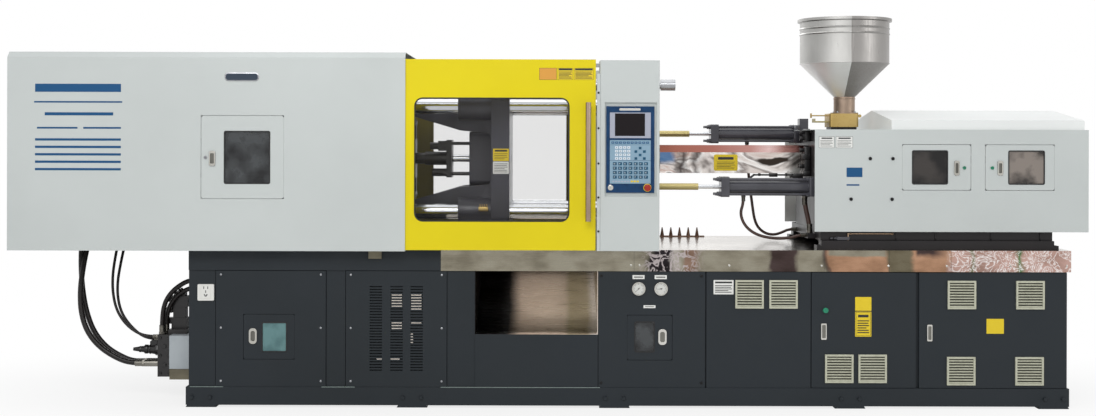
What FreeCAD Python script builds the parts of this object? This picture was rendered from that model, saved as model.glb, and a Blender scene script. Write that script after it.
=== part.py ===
"""Horizontal toggle-clamp injection moulding machine.

Millimetres, +Z up. +X runs from the clamp end to the injection end, -Y is the operator's side.
The origin lies on the floor, under the middle of the machine's outline.
"""
import FreeCAD, Part
import math
import os

Vector = FreeCAD.Vector
os.makedirs("parts", exist_ok=True)

# ---- general fits ------------------------------------------------------------------------
SLIDE_GAP = 0.3          # between curved faces that slide or turn on each other
PIN_GAP = 0.09           # radial running clearance of a pivot pin
SEAM = 3.0               # gap between neighbouring panels
HINGE_GAP = 0.5          # gap on a flush door's hinge side
HOSE_GAP = 0.3           # between a hose's end and its port

# ---- base ---------------------------------------------------------------------------------
BASE_X = (-1926.0, 2705.0)      # plinth, left and right end
BASE_HALF_Y = 560.0
FOOT_HEIGHT = 12.0
PLINTH_TOP = 106.0
PLINTH_LIP = (14.0, 8.0)        # how far the plinth stands proud at the left and right end
PANEL_TOP = 715.0
BASE_TOP = 825.0
PANEL_DEPTH = 16.0              # folded depth of the side panels
PANEL_REVEAL = 4.0              # the panels' set-back behind the plinth's face
POST_REVEAL = 8.0               # the posts' set-back behind the plinth's face
FOOT_LEFT_X = (-1926.0, -820.0, 242.0, 1477.0, 2545.0)
FOOT_LENGTH = 160.0
FOOT_DEPTH = 130.0

DECK_X = (-590.0, 2714.0)       # stainless deck and its front apron
DECK_SHEET = 4.0
DECK_TOP = BASE_TOP + DECK_SHEET
APRON_BOTTOM = 717.0

CHUTE_X = (-410.0, 234.0)       # parts chute under the mould
CHUTE_Z = (385.0, 718.0)
CHUTE_LIP_Y = 490.0             # where the chute's floor starts to climb
CHUTE_BACK_Z = 690.0
CHUTE_HALF_Y = 225.0
CHUTE_SHEET = 3.0

WELL_HALF_Y = 170.0             # pocket in the bed under the toggle
WELL_BOTTOM = 735.0

LEFT_PANEL_X = (-1770.0, -1193.0)
VENT_PANEL_X = (-1088.0, -559.0)
GAUGE_PANEL_X = (237.0, 796.0)
PLAIN_PANEL_X = (803.0, 1350.0)
CABINET_B_X = (1353.0, 1902.0)
CABINET_C_X = (1917.0, 2694.0)
CABINET_DEPTH = 300.0
CABINET_WALL = 20.0

SLOT_COLUMNS_X = (-963.0, -854.0, -749.0)
SLOT_LENGTH = 65.0
SLOT_HEIGHT = 6.0
SLOT_PITCH = 14.6
SLOT_COUNT = 31
SLOT_FIRST_Z = 192.0

HATCH_LEFT_X = (-1626.0, -1357.0)     # small door in the left panel
HATCH_RIGHT_X = (388.0, 625.0)        # small door in the gauge panel
HATCH_Z = (250.0, 488.0)
HATCH_SHEET = 3.0
HATCH_POCKET = 120.0
HATCH_RADIUS = 14.0

GAUGE_X = (447.0, 564.0)
GAUGE_Z = 626.0
GAUGE_RADIUS = 35.0

GRILLE_SIZE = 148.5                   # square filter grille
GRILLE_DEPTH = 9.0
GRILLE_BLADES = 9

SOCKET_SIZE = 86.0
SOCKET_CENTRE = (-1822.0, 601.0)

# ---- clamp cover and sliding guards ----------------------------------------------------------
COVER_X = (-2835.0, -771.0)
COVER_HALF_Y = BASE_HALF_Y + 80.0
COVER_Z = (825.0, 1858.0)
COVER_CHAMFER = 29.0
SHEET = 3.0
SILL_Y = BASE_HALF_Y - 15.0                        # inner edge of the cover's foot flange and of the rail's shelf
CLAMP_HATCH_X = (-1830.0, -1400.0)
CLAMP_HATCH_Z = (1095.0, 1528.0)

GUARD_X = (-831.0, 218.0)             # sliding guard door, closed
GUARD_Z = (831.0, 1823.0)
GUARD_FACE_Y = COVER_HALF_Y - 8.0                  # outer face of the door sheet
GUARD_SHEET = 4.0
GUARD_FLANGE = 26.0
WINDOW_X = (-724.0, 81.0)
WINDOW_Z = (980.0, 1623.0)
WINDOW_RADIUS = 45.0
WINDOW_LAP = 20.0
WINDOW_PANE = 6.0
GRIP_X = 178.0
GRIP_Z = (984.0, 1599.0)
GRIP_RADIUS = 14.0
GRIP_STANDOFF = 45.0
RAIL_Y = (COVER_HALF_Y - 68.0, COVER_HALF_Y - 38.0)
RAIL_X = (-1640.0, 210.0)
RAIL_SHELF_TOP = 837.0
RAIL_LOW_TOP = 857.0
RAIL_HIGH_Z = (1785.0, 1804.0)

# ---- control column ----------------------------------------------------------------------------
COLUMN_X = (240.0, 549.0)
COLUMN_Y = (COVER_HALF_Y - 170.0, COVER_HALF_Y)
COLUMN_TOP = 1819.0
COLUMN_STRIP = (16.0, 1748.0)         # width and top of the door stop strip on its left
BEZEL_X = (265.0, 534.0)
BEZEL_Z = (1112.0, 1600.0)
BEZEL_DEPTH = 14.0
CONSOLE_X = (272.0, 522.0)
CONSOLE_Z = (1131.0, 1580.0)
CONSOLE_THICK = 8.0
DISPLAY_X = (291.0, 503.0)
DISPLAY_Z = (1415.0, 1548.0)
SCREEN_X = (317.0, 473.0)
SCREEN_Z = (1426.0, 1543.0)
KEYPAD_Z = (1179.0, 1404.0)
FACE_PLATE = 3.0
KEY_LIFT = 1.5
SWITCH_Z = 1158.0
KEY_SWITCH_X = 295.0
STOP_BUTTON_X = 486.0
STOP_RADIUS = 18.0
STOP_HEAD = 14.0
STOP_STROKE = 6.0

# ---- clamp ----------------------------------------------------------------------------------------
AXIS_Z = 1300.0                       # centreline of clamp and barrel
TIE_SPACING = 570.0                   # between tie bar centres, both ways
TIE_RADIUS = 40.0
TIE_X = (-1830.0, 545.0)
PLATEN_HALF_Y = 380.0
PLATEN_HALF_Z = 370.0
PLATEN_CORNER = 60.0
FIXED_PLATEN_X = (290.0, 490.0)
MOVING_FACE_X = -237.0                # mould face of the moving platen as stored
MOVING_THICK = 98.0
BOSS_RADIUS = 75.0
BOSS_LENGTH = 278.0
HUB_BACK = 132.0                      # the hub's length behind the plate
HUB_HALF = (110.0, 150.0)
LOCATING_RADIUS = 62.5
LOCATING_DEPTH = 30.0
MOULD_BOLT_R = 8.0
MOULD_BOLT_DEPTH = 45.0
MOULD_PATTERNS = ((280.0, 280.0), (420.0, 140.0))
EJECTOR_BORE = 26.0

LINK_LENGTH = 350.0                   # front and rear links are equally long
PIVOT_HALF_Z = 200.0                  # pivots above and below the centreline
LINK_ANGLE = 16.5                     # degrees out of line, as stored
FRONT_PIVOT_BACK = 268.0              # from the moving platen's mould face
PIVOT_PIN_R = 28.0
LINK_END_R = 45.0
SHORT_RADIUS = 225.0                  # both the short link and its crank on the rear link
SHORT_ANGLE = 18.0                    # between that crank and the rear link
SHORT_PIN_R = 20.0
SHORT_END_R = 35.0
REAR_LINK_Y = (60.0, 100.0)
FRONT_LINK_Y = (104.0, 144.0)
SHORT_LINK_Y = (16.0, 56.0)
REAR_LUGS_Y = ((20.0, 56.0), (104.0, 140.0))
PLATEN_LUGS_Y = ((64.0, 100.0), (148.0, 184.0))
CROSSHEAD_LUG_Y = 12.0
CROSSHEAD_HALF = (30.0, 100.0, 110.0)

REAR_PLATEN_BEHIND = 90.0             # its face behind the rear pivots
REAR_PLATEN_THICK = 190.0
ROD_RADIUS = 45.0
CYLINDER_RADIUS = 95.0
CYLINDER_BORE = 62.0
CYLINDER_LENGTH = 620.0
CYLINDER_FLANGE = (150.0, 40.0)
CYLINDER_CAP = (115.0, 60.0)

# ---- worked out from the clamp's sizes ---------------------------------------------------------------
TIE_HALF = TIE_SPACING / 2
CONE_START = 60.0
FRONT_PIVOT_X = MOVING_FACE_X - FRONT_PIVOT_BACK
REAR_PIVOT_X = FRONT_PIVOT_X - 2 * LINK_LENGTH * math.cos(math.radians(LINK_ANGLE))
KNEE_X = REAR_PIVOT_X + LINK_LENGTH * math.cos(math.radians(LINK_ANGLE))
KNEE_HALF_Z = PIVOT_HALF_Z + LINK_LENGTH * math.sin(math.radians(LINK_ANGLE))
CRANK = math.radians(LINK_ANGLE + SHORT_ANGLE)
CRANK_X = REAR_PIVOT_X + SHORT_RADIUS * math.cos(CRANK)
CRANK_HALF_Z = PIVOT_HALF_Z + SHORT_RADIUS * math.sin(CRANK)
CROSSHEAD_X = REAR_PIVOT_X + 2 * SHORT_RADIUS * math.cos(CRANK)
WELL_X = (REAR_PIVOT_X + 20, REAR_PIVOT_X + LINK_LENGTH + LINK_END_R)
REAR_FACE_X = REAR_PIVOT_X - REAR_PLATEN_BEHIND
REAR_BACK_X = REAR_FACE_X - REAR_PLATEN_THICK
HUB_X = MOVING_FACE_X - MOVING_THICK - HUB_BACK

# ---- injection unit ------------------------------------------------------------------------------------
CARRIAGE_X = (1421.0, 2655.0)         # carriage bed and its rails
CARRIAGE_RAIL_Z = (829.0, 874.0)
CARRIAGE_RAIL_Y = (395.0, 475.0)
CARRIAGE_BED_TOP = 922.0
CARRIAGE_BED_HALF_Y = 445.0
BULKHEAD_X = (1425.0, 1475.0)
BULKHEAD_HALF_Y = 330.0
BULKHEAD_TOP = 1452.0

SHROUD_X = (1384.0, 2835.0)           # painted cover over the injection unit
SHROUD_Z = (922.0, 1464.0)
SHROUD_HALF_Y = 480.0
HOOD_X = (1793.0, 2817.0)
HOOD_HALF_Y = 467.0
HOOD_EAVE_Z = 1514.0
HOOD_RIDGE_Z = 1575.0
SHROUD_DOOR_LEFT_X = (1847.0, 2212.0)
SHROUD_DOOR_RIGHT_X = (2286.0, 2654.0)
SHROUD_DOOR_Z = (1142.0, 1386.0)

BARREL_COVER_X = (595.0, 1420.0)
BARREL_COVER_HALF_Y = 80.0
BARREL_COVER_Z = (1222.0, 1378.0)
BARREL_COVER_FACET = 40.0
BARREL_RADIUS = 50.0
BAND_RADIUS = 58.0
BAND_LENGTH = 95.0
BAND_FIRST_X = 640.0
BAND_PITCH = 125.0
NOZZLE_TIP_X = 395.0
NOZZLE_HEAD_X = (455.0, 560.0)
SCREW_RADIUS = 22.0
SCREW_TIP_X = 520.0

TRAVERSE_NEAR = (-250.0, 1152.0)      # axes of the two traverse cylinders, y and z
TRAVERSE_FAR = (250.0, 1442.0)
TRAVERSE_X = (910.0, 1425.0)
TRAVERSE_BODY_R = 37.0
TRAVERSE_BORE_R = 28.0
TRAVERSE_FLANGE = 110.0
TRAVERSE_FLANGE_THICK = 45.0
TRAVERSE_CAP_THICK = 36.0
TRAVERSE_ROD_R = 12.0
TRAVERSE_ROD_END_X = 1270.0
SLEEVE_RADIUS = 18.0
SLEEVE_END_X = 790.0
TIE_STUD_R = 7.0

HOPPER_X = 1638.0
HOPPER_WALL = 2.0
HOPPER_NECK_R = 59.0
HOPPER_CYLINDER_R = 247.0
HOPPER_RIM_R = 261.0
HOPPER_NECK_Z = 1556.0
HOPPER_CONE_Z = 1650.0
HOPPER_SHOULDER_Z = 1835.0
HOPPER_RIM_Z = 2078.0
HOPPER_BEAD_Z = (1999.0, 2030.0)
LID_RISE = 24.0
THROAT_RADIUS = 32.0
SEAT_X = (1541.0, 1703.0)             # cast block under the hopper
SEAT_HALF_Y = 81.0
SEAT_Z = (1481.0, 1556.0)
GATE_Z = (1506.0, 1514.0)
GATE_HALF_Y = 45.0
GATE_X = (1465.0, 1600.0)
GATE_LIP = (3.0, 14.0)                # thickness and height of the gate's turned-up end
CLAMP_SCREW_REACH = 90.0              # of the T-handled screw beside the gate
FEED_BLOCK_X = (1475.0, 1760.0)
FEED_BLOCK_HALF = (110.0, 110.0)
DRIVE_X = (1900.0, 1950.0)
MOTOR_END_X = 2240.0
GUIDE_ROD_Y = 170.0
GUIDE_ROD_R = 20.0
TAIL_PLATE_X = (2510.0, 2550.0)

# ---- hydraulics at the base's left end ---------------------------------------------------------------------
UNIT_Y = -250.0                       # middle of the valve group
OIL_BOX_X = (-2068.0, -1912.0)
OIL_BOX_HALF_Y = 100.0
OIL_BOX_Z = (166.0, 345.0)
OIL_SUMP_Z = (108.0, 166.0)
MANIFOLD_X = (-2142.0, -2068.0)
MANIFOLD_HALF_Y = 60.0
MANIFOLD_Z = (117.0, 345.0)
STACK_X = (-2088.0, -2004.0)
STACK_Z = (345.0, 570.0)
CONE_VALVE_Z = 255.0
CONE_VALVE_LENGTH = 153.0
CONE_VALVE_R = (33.0, 9.0)
FERRULE_LENGTH = 72.0

# Hoses hang free, so each route is a list of points chosen by hand.
CLAMP_HOSE_D = 29.0
CLAMP_HOSES = (
    ((-2226, -60, 1330), (-2330, -60, 1330), (-2430, -84, 1280), (-2505, -112, 1200),
     (-2552, -146, 1095), (-2577, -180, 975), (-2588, -206, 845), (-2586, -224, 712),
     (-2574, -234, 580), (-2550, -240, 458), (-2508, -242, 348), (-2436, -243, 262),
     (-2340, -244, 208), (-2280, -244, 190), (-2214, -244, 190)),
    ((-2226, 20, 1270), (-2330, 20, 1270), (-2412, -10, 1232), (-2474, -64, 1156),
     (-2514, -118, 1055), (-2538, -166, 938), (-2558, -206, 812), (-2572, -238, 690),
     (-2578, -262, 570), (-2566, -280, 455), (-2528, -290, 352), (-2456, -292, 268),
     (-2356, -291, 208), (-2284, -290, 188), (-2214, -290, 188)),
)
PILOT_HOSE_D = 15.0
PILOT_HOSES = (
    ((-2200, -84, 1215), (-2262, -84, 1215), (-2316, -104, 1184), (-2345, -124, 1122),
     (-2362, -146, 1044), (-2374, -170, 950), (-2388, -194, 850), (-2402, -216, 750),
     (-2410, -234, 655), (-2404, -248, 560), (-2380, -258, 470), (-2330, -264, 396),
     (-2264, -266, 347), (-2204, -266, 330), (-2150, -266, 330)),
    ((-2200, -30, 1206), (-2262, -30, 1206), (-2312, -48, 1176), (-2340, -72, 1108),
     (-2350, -100, 1008), (-2358, -130, 912), (-2368, -158, 812), (-2382, -184, 712),
     (-2392, -204, 618), (-2386, -218, 530), (-2362, -228, 452), (-2318, -234, 390),
     (-2258, -236, 334), (-2200, -236, 312), (-2150, -236, 312)),
)
PUMP_HOSE_D = 26.0
PUMP_HOSES = (
    ((-1912, -284, 640), (-1972, -284, 640), (-2030, -284, 610), (-2080, -284, 566),
     (-2113, -284, 508), (-2124, -284, 430), (-2124, -284, 345)),
    ((-1912, -250, 596), (-1966, -250, 596), (-2016, -250, 576), (-2062, -250, 542),
     (-2094, -250, 492), (-2108, -250, 438), (-2109, -250, 390), (-2109, -250, 345)),
)
TRAVERSE_HOSE_D = 16.0
TRAVERSE_HOSES = (
    ((1037, -250, 1103), (1037, -250, 1062), (1021, -250, 1014), (1032, -250, 964),
     (1064, -250, 920), (1112, -250, 890), (1172, -250, 874), (1240, -250, 869),
     (1305, -250, 876), (1346, -250, 890), (1380, -250, 890)),
    ((1125, 250, 1393), (1125, 250, 1320), (1135, 257, 1215), (1149, 265, 1105),
     (1163, 274, 1010), (1175, 283, 942), (1198, 289, 894), (1240, 290, 862),
     (1290, 290, 854), (1335, 290, 868), (1376, 290, 888), (1421, 290, 888)),
)
REAR_PORT_HOSE_D = 26.0
REAR_PORT_HOSE = ((1371, -250, 1103), (1371, -250, 1056), (1397, -256, 950), (1397, -256, 902))


# ---- building blocks -----------------------------------------------------------------------------------------
def box(x, y, z):
    """Block between two limits on each axis."""
    return Part.makeBox(x[1] - x[0], y[1] - y[0], z[1] - z[0], Vector(x[0], y[0], z[0]))


def disc_y(x, z, radius, y):
    """Round disc or pin lying along Y."""
    return Part.makeCylinder(radius, y[1] - y[0], Vector(x, y[0], z), Vector(0, 1, 0))


def bar_x(x, y, z, radius):
    """Round bar lying along X."""
    return Part.makeCylinder(radius, x[1] - x[0], Vector(x[0], y, z), Vector(1, 0, 0))


def post_z(x, y, z, radius):
    """Round post standing along Z."""
    return Part.makeCylinder(radius, z[1] - z[0], Vector(x, y, z[0]), Vector(0, 0, 1))


def cone_x(x, y, z, radii):
    """Tapered bar along X."""
    return Part.makeCone(radii[0], radii[1], x[1] - x[0], Vector(x[0], y, z), Vector(1, 0, 0))


def fuse(shapes):
    """One solid from pieces that touch or overlap."""
    shapes = list(shapes)
    if len(shapes) == 1:
        return shapes[0]
    return shapes[0].multiFuse(shapes[1:]).removeSplitter()


def cut(shape, tools):
    """The shape without the space of all the tools."""
    return shape.cut(Part.makeCompound(list(tools)))


def extrude_polygon(points, direction):
    """Flat outline swept along a direction."""
    corners = [Vector(*point) for point in points]
    wire = Part.makePolygon(corners + [corners[0]])
    return Part.Face(wire).extrude(Vector(*direction))


def plate_y(x, z, y, radius=0.0):
    """Plate facing Y, its corners rounded in the XZ plane."""
    plate = box(x, y, z)
    if radius <= 0:
        return plate
    upright = [edge for edge in plate.Edges if abs(edge.tangentAt(0).y) > 0.99]
    return plate.makeFillet(radius, upright)


def plate_x(x, y, z, radius):
    """Plate facing X, its corners rounded in the YZ plane."""
    plate = box(x, y, z)
    along = [edge for edge in plate.Edges if abs(edge.tangentAt(0).x) > 0.99]
    return plate.makeFillet(radius, along)


def grow(span, amount):
    """A span made longer by an amount at both ends."""
    return (span[0] - amount, span[1] + amount)


def front(depth_out, depth_in):
    """Y limits of a layer on the operator's side, given as distances from the middle."""
    return (-depth_out, -depth_in)


def mirrored(shape):
    """The same piece on the other side of the machine."""
    return shape.mirror(Vector(0, 0, 0), Vector(0, 1, 0))


def upside_down(shape):
    """The same piece below the clamp's centreline."""
    return shape.mirror(Vector(0, 0, AXIS_Z), Vector(0, 0, 1))


def pairs(span):
    """A Y span on the near side and its mirror image on the far side."""
    return ((-span[1], -span[0]), span)


def hose(route, diameter, name):
    """Tube of straight runs joined by tangent arcs; its volume and bends are printed."""
    points = [Vector(*point) for point in route]
    points[0] += (points[1] - points[0]).normalize() * HOSE_GAP
    points[-1] += (points[-2] - points[-1]).normalize() * HOSE_GAP
    edges = []
    radii = []
    start = points[0]
    for before, corner, after in zip(points, points[1:], points[2:]):
        back = (before - corner).normalize()
        ahead = (after - corner).normalize()
        turn = math.pi - back.getAngle(ahead)
        shorter = min((before - corner).Length, (after - corner).Length)
        reach = 0.45 * shorter
        radius = reach / math.tan(turn / 2)
        middle_line = (back + ahead).normalize()
        centre = corner + middle_line * math.hypot(reach, radius)
        arc_start = corner + back * reach
        arc_end = corner + ahead * reach
        edges.append(Part.LineSegment(start, arc_start).toShape())
        edges.append(Part.Arc(arc_start, centre - middle_line * radius, arc_end).toShape())
        start = arc_end
        radii.append(radius)
    edges.append(Part.LineSegment(start, points[-1]).toShape())
    path = Part.Wire(edges)
    first = (points[1] - points[0]).normalize()
    section = Part.Wire([Part.makeCircle(diameter / 2, points[0], first)])
    tube = path.makePipeShell([section], True, False)
    ratio = tube.Volume / (math.pi * diameter ** 2 / 4 * path.Length)
    print("%s: length %.0f mm, least bend radius %.0f mm, volume ratio %.4f"
          % (name, path.Length, min(radii), ratio))
    return tube


def save(name, *solids):
    """Write one sub-part."""
    shape = solids[0] if len(solids) == 1 else Part.makeCompound(list(solids))
    shape.exportStep("parts/" + name + ".step")
    print("%-22s %3d solids %s" % (name, len(shape.Solids), shape.isValid()))


# ---- base ------------------------------------------------------------------------------------------------------
BODY_X = (BASE_X[0] + PLINTH_LIP[0], BASE_X[1] - PLINTH_LIP[1])
PANEL_FACE = BASE_HALF_Y - PANEL_REVEAL
CORE_HALF_Y = PANEL_FACE - PANEL_DEPTH
POST_FACE = BASE_HALF_Y - POST_REVEAL
BEAM_BOTTOM = PANEL_TOP + SEAM


def chute_outline(inset):
    """Side view of the chute's free space in Y and Z, drawn smaller by the lining's thickness."""
    floor_z = CHUTE_Z[0] + inset
    return ((-BASE_HALF_Y - 1, floor_z), (-CHUTE_LIP_Y, floor_z), (CHUTE_HALF_Y, CHUTE_BACK_Z + inset),
            (CHUTE_HALF_Y, DECK_TOP + 1), (-CHUTE_HALF_Y, DECK_TOP + 1), (-CHUTE_HALF_Y, CHUTE_Z[1]),
            (-BASE_HALF_Y - 1, CHUTE_Z[1]))


def chute_space(inset):
    """Free space of the parts chute, from the mould down to the operator's side."""
    x = grow(CHUTE_X, -inset)
    outline = [(x[0], y, z) for y, z in chute_outline(inset)]
    return extrude_polygon(outline, (x[1] - x[0], 0, 0))


def filled_bay(x):
    """Section of the bed between two stations, right across the machine."""
    return [box(x, (-CORE_HALF_Y, CORE_HALF_Y), (PLINTH_TOP, BASE_TOP))]


def pocket_bay(x, depth, z):
    """Section with a recess of this depth in the operator's side, framed below, above and behind."""
    bottom_y = depth - CORE_HALF_Y
    front = (-CORE_HALF_Y, bottom_y)
    return [box(x, front, (PLINTH_TOP, z[0])), box(x, front, (z[1], BASE_TOP)),
            box(x, (bottom_y, CORE_HALF_Y), (PLINTH_TOP, BASE_TOP))]


def well_bay(x):
    """Section with the pocket that the lower toggle's knee dips into when the clamp opens."""
    sides = [box(x, y, (PLINTH_TOP, BASE_TOP)) for y in ((-CORE_HALF_Y, -WELL_HALF_Y), (WELL_HALF_Y, CORE_HALF_Y))]
    return sides + [box(x, (-WELL_HALF_Y, WELL_HALF_Y), (PLINTH_TOP, WELL_BOTTOM))]


def chute_bay(x):
    """Section round the parts chute: lintel, back, sill and the climbing floor."""
    floor = [(x[0], y, z) for y, z in ((-CHUTE_LIP_Y, PLINTH_TOP), (CHUTE_HALF_Y, PLINTH_TOP),
                                       (CHUTE_HALF_Y, CHUTE_BACK_Z), (-CHUTE_LIP_Y, CHUTE_Z[0]))]
    return [box(x, (-CORE_HALF_Y, -CHUTE_HALF_Y), (CHUTE_Z[1], BASE_TOP)),
            box(x, (CHUTE_HALF_Y, CORE_HALF_Y), (PLINTH_TOP, BASE_TOP)),
            box(x, (-CORE_HALF_Y, -CHUTE_LIP_Y), (PLINTH_TOP, CHUTE_Z[0])),
            extrude_polygon(floor, (x[1] - x[0], 0, 0))]


def make_base():
    """Welded frame: plinth, a bed made up of sections, side beams and posts."""
    cabinets = [grow(span, -CABINET_WALL) for span in (CABINET_B_X, CABINET_C_X)]
    cabinet_z = (PLINTH_TOP + CABINET_WALL, PANEL_TOP - CABINET_WALL)
    hatches = [grow(span, -HATCH_RADIUS) for span in (HATCH_LEFT_X, HATCH_RIGHT_X)]
    hatch_z = grow(HATCH_Z, -HATCH_RADIUS)
    bays = {WELL_X: well_bay(WELL_X), CHUTE_X: chute_bay(CHUTE_X)}
    bays.update({x: pocket_bay(x, CABINET_DEPTH, cabinet_z) for x in cabinets})
    bays.update({x: pocket_bay(x, HATCH_POCKET, hatch_z) for x in hatches})
    sections = [section for bay in bays.values() for section in bay]
    stations = sorted(BODY_X + sum(bays, ()))
    for span in zip(stations[::2], stations[1::2]):
        sections += filled_bay(span)
    plinth = box(BASE_X, (-BASE_HALF_Y, BASE_HALF_Y), (FOOT_HEIGHT, PLINTH_TOP))
    near = [box((BODY_X[0], DECK_X[0]), (-BASE_HALF_Y, -CORE_HALF_Y), (BEAM_BOTTOM, BASE_TOP)),
            box((DECK_X[0], BODY_X[1]), (-PANEL_FACE, -CORE_HALF_Y), (BEAM_BOTTOM, BASE_TOP))]
    post_spans = ((BODY_X[0], LEFT_PANEL_X[0] - SEAM), (LEFT_PANEL_X[1] + SEAM, VENT_PANEL_X[0] - SEAM),
                  (VENT_PANEL_X[1] + SEAM, CHUTE_X[0]))
    posts = [box(span, (-POST_FACE, -CORE_HALF_Y), (PLINTH_TOP, BEAM_BOTTOM)) for span in post_spans]
    return [plinth] + sections + near + [mirrored(beam) for beam in near] + posts


def make_feet():
    """Levelling pads under the plinth, wider at the floor."""
    feet = []
    slope = 6.0
    for left in FOOT_LEFT_X:
        right = left + FOOT_LENGTH
        outline = [(left, 0, 0), (right, 0, 0), (right - slope, 0, FOOT_HEIGHT), (left + slope, 0, FOOT_HEIGHT)]
        pad = extrude_polygon(outline, (0, FOOT_DEPTH, 0))
        pad.translate(Vector(0, -BASE_HALF_Y, 0))
        feet += [pad, mirrored(pad)]
    return feet


def grille(left, bottom, face_y):
    """Square filter grille with slanted blades, seated on a panel's face."""
    span_x = (left, left + GRILLE_SIZE)
    span_z = (bottom, bottom + GRILLE_SIZE)
    frame = box(span_x, (-face_y - GRILLE_DEPTH, -face_y), span_z)
    border = 10.0
    inner = box(grow(span_x, -border), (-face_y - GRILLE_DEPTH - 1, -face_y - 2), grow(span_z, -border))
    pieces = [frame.cut(inner)]
    pitch = (GRILLE_SIZE - 2 * border) / GRILLE_BLADES
    for index in range(GRILLE_BLADES):
        z = span_z[0] + border + index * pitch
        outline = [(0, -face_y - 1, z + 2), (0, -face_y - GRILLE_DEPTH + 1, z + 1),
                   (0, -face_y - GRILLE_DEPTH + 1, z + 3), (0, -face_y - 1, z + pitch - 3)]
        blade = extrude_polygon(outline, (GRILLE_SIZE - 2 * border + 2, 0, 0))
        blade.translate(Vector(span_x[0] + border - 1, 0, 0))
        pieces.append(blade)
    return fuse(pieces)


def panel(x, z=(PLINTH_TOP, PANEL_TOP)):
    """Folded cover panel on the operator's side of the base."""
    return box(x, (-PANEL_FACE, -CORE_HALF_Y), z)


def make_panels():
    """Fixed cover panels, the socket plate and the plain panel's grilles."""
    left = panel(LEFT_PANEL_X).cut(box(HATCH_LEFT_X, (-BASE_HALF_Y, 0), HATCH_Z))
    gauge = panel(GAUGE_PANEL_X).cut(box(HATCH_RIGHT_X, (-BASE_HALF_Y, 0), HATCH_Z))
    bores = [disc_y(x, GAUGE_Z, GAUGE_RADIUS - 4, (-BASE_HALF_Y, 0)) for x in GAUGE_X]
    gauge = cut(gauge, bores)
    plain = panel(PLAIN_PANEL_X)
    under_chute = panel(CHUTE_X, (PLINTH_TOP, CHUTE_Z[0]))
    socket_x, socket_z = (grow((centre, centre), SOCKET_SIZE / 2) for centre in SOCKET_CENTRE)
    socket = plate_y(socket_x, socket_z, (-POST_FACE - 9, -POST_FACE), 6)
    grilles = [grille(954, 524, PANEL_FACE), grille(1132, 524, PANEL_FACE)]
    back_edges = (BODY_X[0], -1193.0, -560.0, 250.0, 1060.0, 1880.0, BODY_X[1])
    backs = [mirrored(panel((a + SEAM / 2, b - SEAM / 2))) for a, b in zip(back_edges, back_edges[1:])]
    return [left, gauge, plain, under_chute, socket] + grilles + backs


def make_vent_panel():
    """Panel with three columns of ventilation slots."""
    slots = []
    for x in SLOT_COLUMNS_X:
        for index in range(SLOT_COUNT):
            z = SLOT_FIRST_Z + index * SLOT_PITCH
            slots.append(box((x, x + SLOT_LENGTH), (-BASE_HALF_Y, 0), (z, z + SLOT_HEIGHT)))
    return cut(panel(VENT_PANEL_X), slots)


def make_chute():
    """Folded lining of the parts chute: two walls and the climbing floor."""
    tray = chute_space(0).cut(chute_space(CHUTE_SHEET))
    return tray.common(box(CHUTE_X, (-PANEL_FACE, CHUTE_HALF_Y), (CHUTE_Z[0], BASE_TOP)))


def make_deck():
    """Stainless sheets over the bed, open above the chute, with aprons down both sides and the end."""
    top = (BASE_TOP, DECK_TOP)
    side = (-PANEL_FACE, PANEL_FACE)
    sheets = [box((DECK_X[0], CHUTE_X[0]), side, top), box((CHUTE_X[1], BODY_X[1]), side, top)]
    sheets += [box(CHUTE_X, y, top) for y in ((-PANEL_FACE, -CHUTE_HALF_Y), (CHUTE_HALF_Y, PANEL_FACE))]
    apron = box((DECK_X[0], BODY_X[1]), (-BASE_HALF_Y, -PANEL_FACE), (APRON_BOTTOM, DECK_TOP))
    end = box((BODY_X[1], DECK_X[1]), (-BASE_HALF_Y, BASE_HALF_Y), (APRON_BOTTOM, DECK_TOP))
    return sheets + [apron, mirrored(apron), end]


def make_gauges():
    """Two panel-mounted pressure gauges with raised bezels and pointers."""
    gauges = []
    for x in GAUGE_X:
        y = -PANEL_FACE
        body = disc_y(x, GAUGE_Z, GAUGE_RADIUS - 4, (y, y + PANEL_DEPTH))
        ring = disc_y(x, GAUGE_Z, GAUGE_RADIUS, (y - 14, y))
        face = disc_y(x, GAUGE_Z, GAUGE_RADIUS - 5, (y - 15, y - 6))
        pointer = box((x - 1.2, x + 1.2), (y - 8, y - 6), (GAUGE_Z - 6, GAUGE_Z + GAUGE_RADIUS - 10))
        pin = disc_y(x, GAUGE_Z, 4, (y - 9, y - 6))
        gauges.append(fuse([body, ring.cut(face), pointer, pin]))
    return gauges


def make_switchgear():
    """Mounting plates with rows of contactors and a drive unit inside the cabinets."""
    pieces = []
    for door_x in (CABINET_B_X, CABINET_C_X):
        back_y = CABINET_DEPTH - CORE_HALF_Y
        x = grow(door_x, -CABINET_WALL - 30)
        plate = box(x, (back_y - 6, back_y), (PLINTH_TOP + 50, PANEL_TOP - 50))
        units = [plate]
        count = int((x[1] - x[0]) // 90)
        for index in range(count):
            left = x[0] + 15 + index * 90
            for bottom, height, depth in ((180, 110, 70), (360, 95, 90), (530, 100, 60)):
                units.append(box((left, left + 70), (back_y - 6 - depth, back_y - 6), (bottom, bottom + height)))
        pieces.append(fuse(units))
    return pieces


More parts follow.
